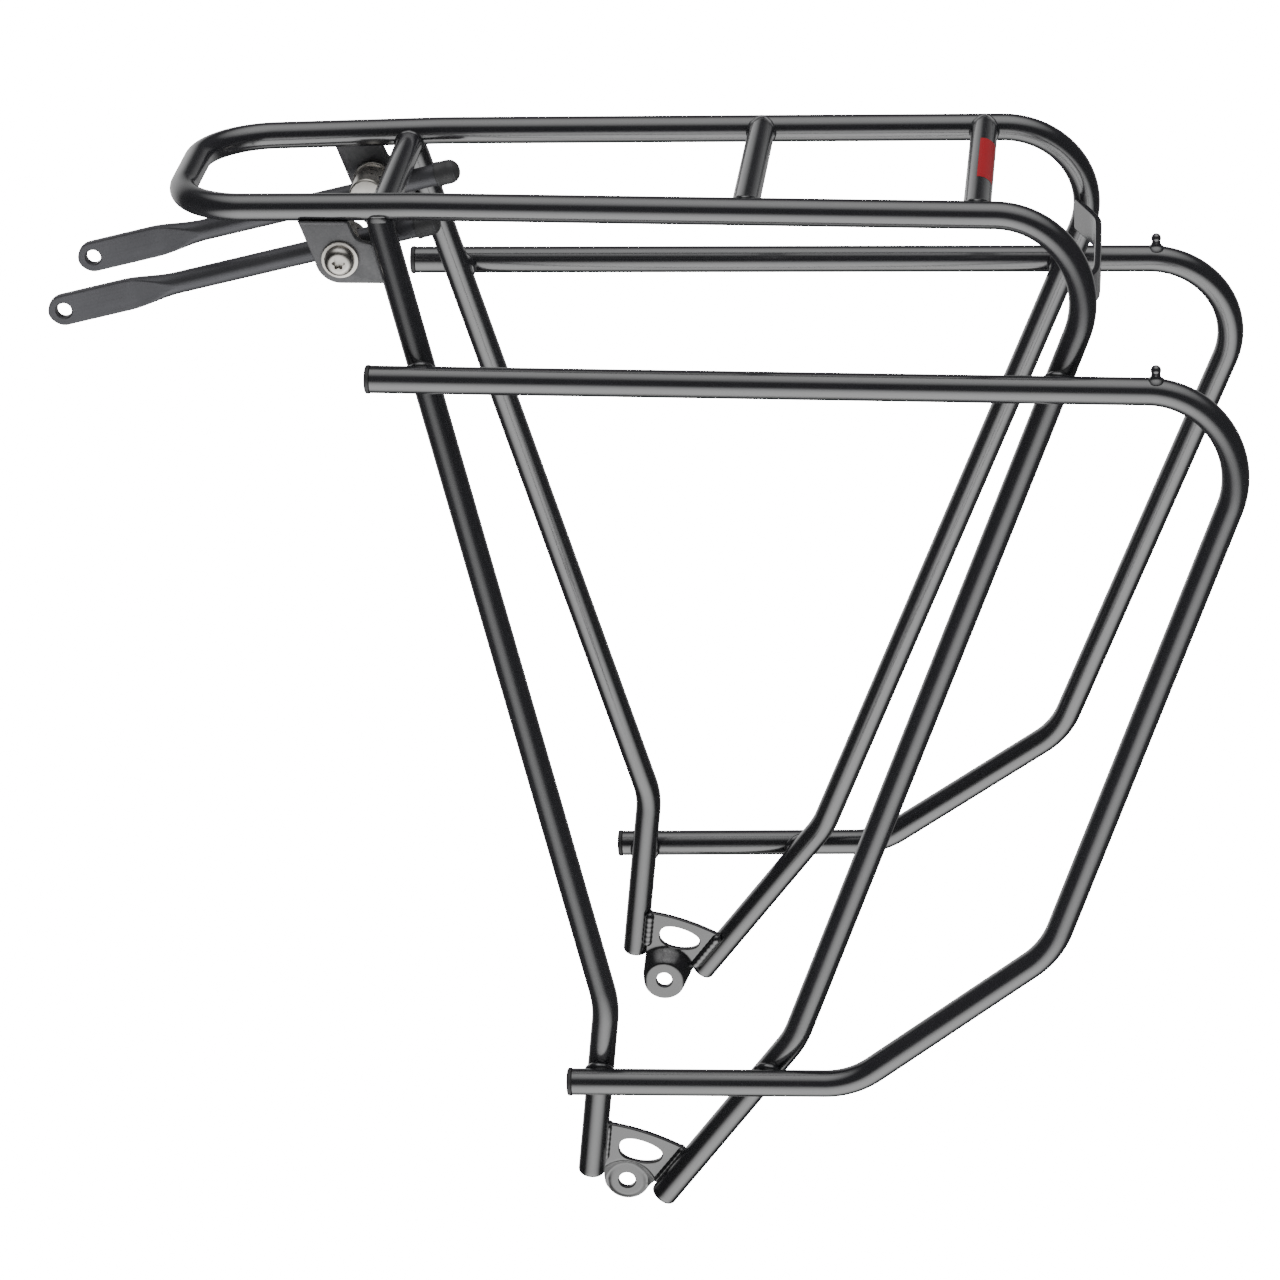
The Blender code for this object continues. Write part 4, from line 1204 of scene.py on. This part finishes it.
def section_ring(place, width, thickness):
    """A round outline pressed flat, with a soft shoulder between its flats and its edges."""
    radius = max(width, STRUT_RADIUS)
    soft = STRUT_SHOULDER * (1 - thickness / STRUT_RADIUS)
    ring = []
    for facet in range(STRUT_FACETS):
        angle = 2 * math.pi * facet / STRUT_FACETS
        across = abs(radius * math.cos(angle))
        over = across - thickness
        pressed = thickness - (math.hypot(over, soft) - over) / 2 + soft / 2
        across = min(across, pressed) if soft else across
        ring.append(Vector((place, math.copysign(across, math.cos(angle)), width * math.sin(angle))))
    return ring


def eye_cutter():
    """A hole with both mouths lightly chamfered."""
    face = STRUT_EYE_HALF_THICKNESS
    chamfer = STRUT_EYE_CHAMFER
    radius = STRUT_EYE_HOLE_RADIUS
    wide = radius + 2 * chamfer
    return [
        (0.0, -face - chamfer),
        (wide, -face - chamfer),
        (radius, -face + chamfer),
        (radius, face - chamfer),
        (wide, face + chamfer),
        (0.0, face + chamfer),
    ]


def cap_profile():
    """A cap with a lip at its mouth, straight sides and a rounded end."""
    mouth = STRUT_TAIL_REACH - CAP_LENGTH
    side = CAP_RADIUS - CAP_LIP
    profile = [
        (0.0, mouth),
        (side, mouth),
        (CAP_RADIUS, mouth + CAP_LIP),
        (CAP_RADIUS, mouth + CAP_LIP_LENGTH),
        (side, mouth + CAP_LIP_END),
    ]
    steps = 12
    for step in range(steps + 1):
        angle = math.pi / 2 * step / steps
        radius = side * math.cos(angle) ** CAP_CROWN_BLUNTNESS
        profile.append((radius, STRUT_TAIL_REACH - CAP_CROWN * (1 - math.sin(angle))))
    return profile


def add_struts():
    upright = Matrix.Rotation(math.pi / 2, 4, "X")
    for name, side in SIDES.items():
        body = f"strut_{name}"
        place = strut_place(side)
        rings = [section_ring(*section) for section in strut_sections()]
        node = f"strut_rod_{name}"
        rod = add_piece(f"rod_{name}", skin(rings), "satin_black_rod", body, [node], place)
        eye = place @ Matrix.Translation((-STRUT_EYE_REACH, 0, 0)) @ upright
        carve(rod, turned(eye_cutter()), eye)
        along = place @ Matrix.Rotation(math.pi / 2, 4, "Y")
        node = f"strut_cap_{name}"
        add_piece(f"cap_{name}", turned(cap_profile()), "black_plastic", body, [node], along)


# ---------------------------------------------------------------- label


def add_label():
    """A plain red strip wrapped on the back of the rear cross tube."""
    centre = placed((CROSS_TUBE_X["rear"], 0, RAIL_HEIGHT))
    steps = 10
    rings = []
    for y in (-LABEL_HALF_LENGTH, LABEL_HALF_LENGTH):
        ring = []
        for radius in (TUBE_RADIUS + LABEL_LIFT, TUBE_RADIUS - LABEL_LIFT):
            for step in range(steps + 1):
                share = step / steps if radius > TUBE_RADIUS else 1 - step / steps
                angle = LABEL_TILT + LABEL_WIDTH * (share - 0.5)
                ring.append(centre + Vector((radius * math.cos(angle), y, radius * math.sin(angle))))
        rings.append(ring)
    add_piece("red_label", skin(rings), "black_powder_coat", material=label_print())


# ---------------------------------------------------------------- stage


def multiply(tree, first, second):
    node = tree.nodes.new("ShaderNodeMath")
    node.operation = "MULTIPLY"
    for socket, value in zip(node.inputs, (first, second)):
        if isinstance(value, float):
            socket.default_value = value
        else:
            tree.links.new(value, socket)
    return node.outputs["Value"]


def add_up(tree, first, second):
    node = tree.nodes.new("ShaderNodeMath")
    node.operation = "ADD"
    tree.links.new(first, node.inputs[0])
    tree.links.new(second, node.inputs[1])
    return node.outputs["Value"]


def brightness_towards(tree, direction, aim, low, high):
    """A value that rises with how nearly a direction agrees with an aim."""
    agreement = tree.nodes.new("ShaderNodeVectorMath")
    agreement.operation = "DOT_PRODUCT"
    agreement.inputs[1].default_value = aim
    tree.links.new(direction, agreement.inputs[0])
    return remap(tree, agreement.outputs["Value"], low[0], high[0], low[1], high[1])


def studio_light(tree, direction):
    """Brightness of the studio in a direction: soft boxes that stand above and below the camera."""
    turn = tree.nodes.new("ShaderNodeVectorTransform")
    turn.vector_type = "VECTOR"
    turn.convert_from = "WORLD"
    turn.convert_to = "CAMERA"
    tree.links.new(direction, turn.inputs["Vector"])
    total = None
    for box in STUDIO_BOXES:
        light = brightness_towards(tree, turn.outputs["Vector"], *box)
        total = light if total is None else add_up(tree, total, light)
    return total


def floor_look():
    """Pale, and white to the camera. To glossy rays it is painted black, and the studio's soft boxes are
    painted on it as a glow that shows only in reflections.
    """
    material, tree, shader = new_material("floor", FLOOR_WHITE, FLOOR_ROUGHNESS)
    path = tree.nodes.new("ShaderNodeLightPath")
    glossy = path.outputs["Is Glossy Ray"]
    # painted shade: the floor turns black to glossy rays, so the tubes reflect it dark
    colour = mix_colours(tree, glossy, FLOOR_WHITE, BLACK)
    tree.links.new(colour, shader.inputs["Base Color"])
    away = tree.nodes.new("ShaderNodeVectorMath")
    away.operation = "SCALE"
    away.inputs["Scale"].default_value = -1.0
    place = tree.nodes.new("ShaderNodeNewGeometry")
    tree.links.new(place.outputs["Incoming"], away.inputs[0])
    # painted light: the floor glows with the studio's soft boxes, seen only in reflections
    reflected = multiply(tree, studio_light(tree, away.outputs["Vector"]), glossy)
    seen = multiply(tree, path.outputs["Is Camera Ray"], BACKDROP_GLOW)
    shader.inputs["Emission Color"].default_value = (1, 1, 1, 1)
    tree.links.new(add_up(tree, reflected, seen), shader.inputs["Emission Strength"])
    return material


def add_floor():
    bm = bmesh.new()
    bmesh.ops.create_grid(bm, x_segments=1, y_segments=1, size=FLOOR_HALF_SIZE)
    mesh = bpy.data.meshes.new("floor")
    bm.to_mesh(mesh)
    bm.free()
    mesh.materials.append(floor_look())
    floor = bpy.data.objects.new("floor", mesh)
    floor.location = (0, 0, FLOOR_DROP)
    bpy.context.scene.collection.objects.link(floor)


def add_softbox(name, place, aim, size, power):
    light = bpy.data.lights.new(name, "AREA")
    light.shape = "RECTANGLE"
    light.size, light.size_y = size
    light.energy = power
    obj = bpy.data.objects.new(name, light)
    obj.location = place
    obj.rotation_mode = "QUATERNION"
    obj.rotation_quaternion = (Vector(aim) - Vector(place)).to_track_quat("-Z", "Y")
    obj.visible_camera = False
    obj.visible_glossy = False
    bpy.context.scene.collection.objects.link(obj)


def add_studio():
    """A softbox overhead, low cards on both sides and a white sky. Reflections show the soft boxes."""
    add_softbox("overhead", OVERHEAD_PLACE, OVERHEAD_AIM, OVERHEAD_SIZE, OVERHEAD_POWER)
    for name, side in SIDES.items():
        place, aim = [(0.0, side * CARD_Y, CARD_HEIGHTS[end]) for end in ("place", "aim")]
        add_softbox(f"card_{name}", place, aim, CARD_SIZE, CARD_POWER)
    world = bpy.data.worlds.new("studio")
    bpy.context.scene.world = world
    world.use_nodes = True
    tree = world.node_tree
    direction = tree.nodes.new("ShaderNodeTexCoord").outputs["Generated"]
    path = tree.nodes.new("ShaderNodeLightPath")
    reflected = multiply(tree, studio_light(tree, direction), path.outputs["Is Glossy Ray"])
    seen = multiply(tree, path.outputs["Is Camera Ray"], BACKDROP_GLOW)
    diffuse = multiply(tree, path.outputs["Is Diffuse Ray"], SKY_STRENGTH)
    strength = add_up(tree, add_up(tree, reflected, seen), diffuse)
    tree.links.new(strength, tree.nodes["Background"].inputs["Strength"])
    tree.nodes["Background"].inputs["Color"].default_value = (1, 1, 1, 1)


def add_camera():
    camera = bpy.data.cameras.new("camera")
    camera.lens = CAMERA_LENS
    camera.sensor_width = CAMERA_SENSOR
    camera.clip_start, camera.clip_end = CAMERA_CLIP
    obj = bpy.data.objects.new("camera", camera)
    turn = Matrix.Rotation(CAMERA_YAW, 4, "Z")
    tip = Matrix.Rotation(math.pi / 2 - CAMERA_PITCH, 4, "X")
    roll = Matrix.Rotation(CAMERA_ROLL, 4, "Z")
    obj.matrix_world = Matrix.Translation(placed(CAMERA_PLACE)) @ turn @ tip @ roll
    bpy.context.scene.collection.objects.link(obj)
    bpy.context.scene.camera = obj


add_frame_tubes()
add_loop_welds()
add_tube_ends()
add_stop_pegs()
add_eyelet_plates()
add_light_plate()
add_brackets()
add_clamps()
add_struts()
add_label()
add_floor()
add_studio()
add_camera()

bpy.context.view_layer.update()
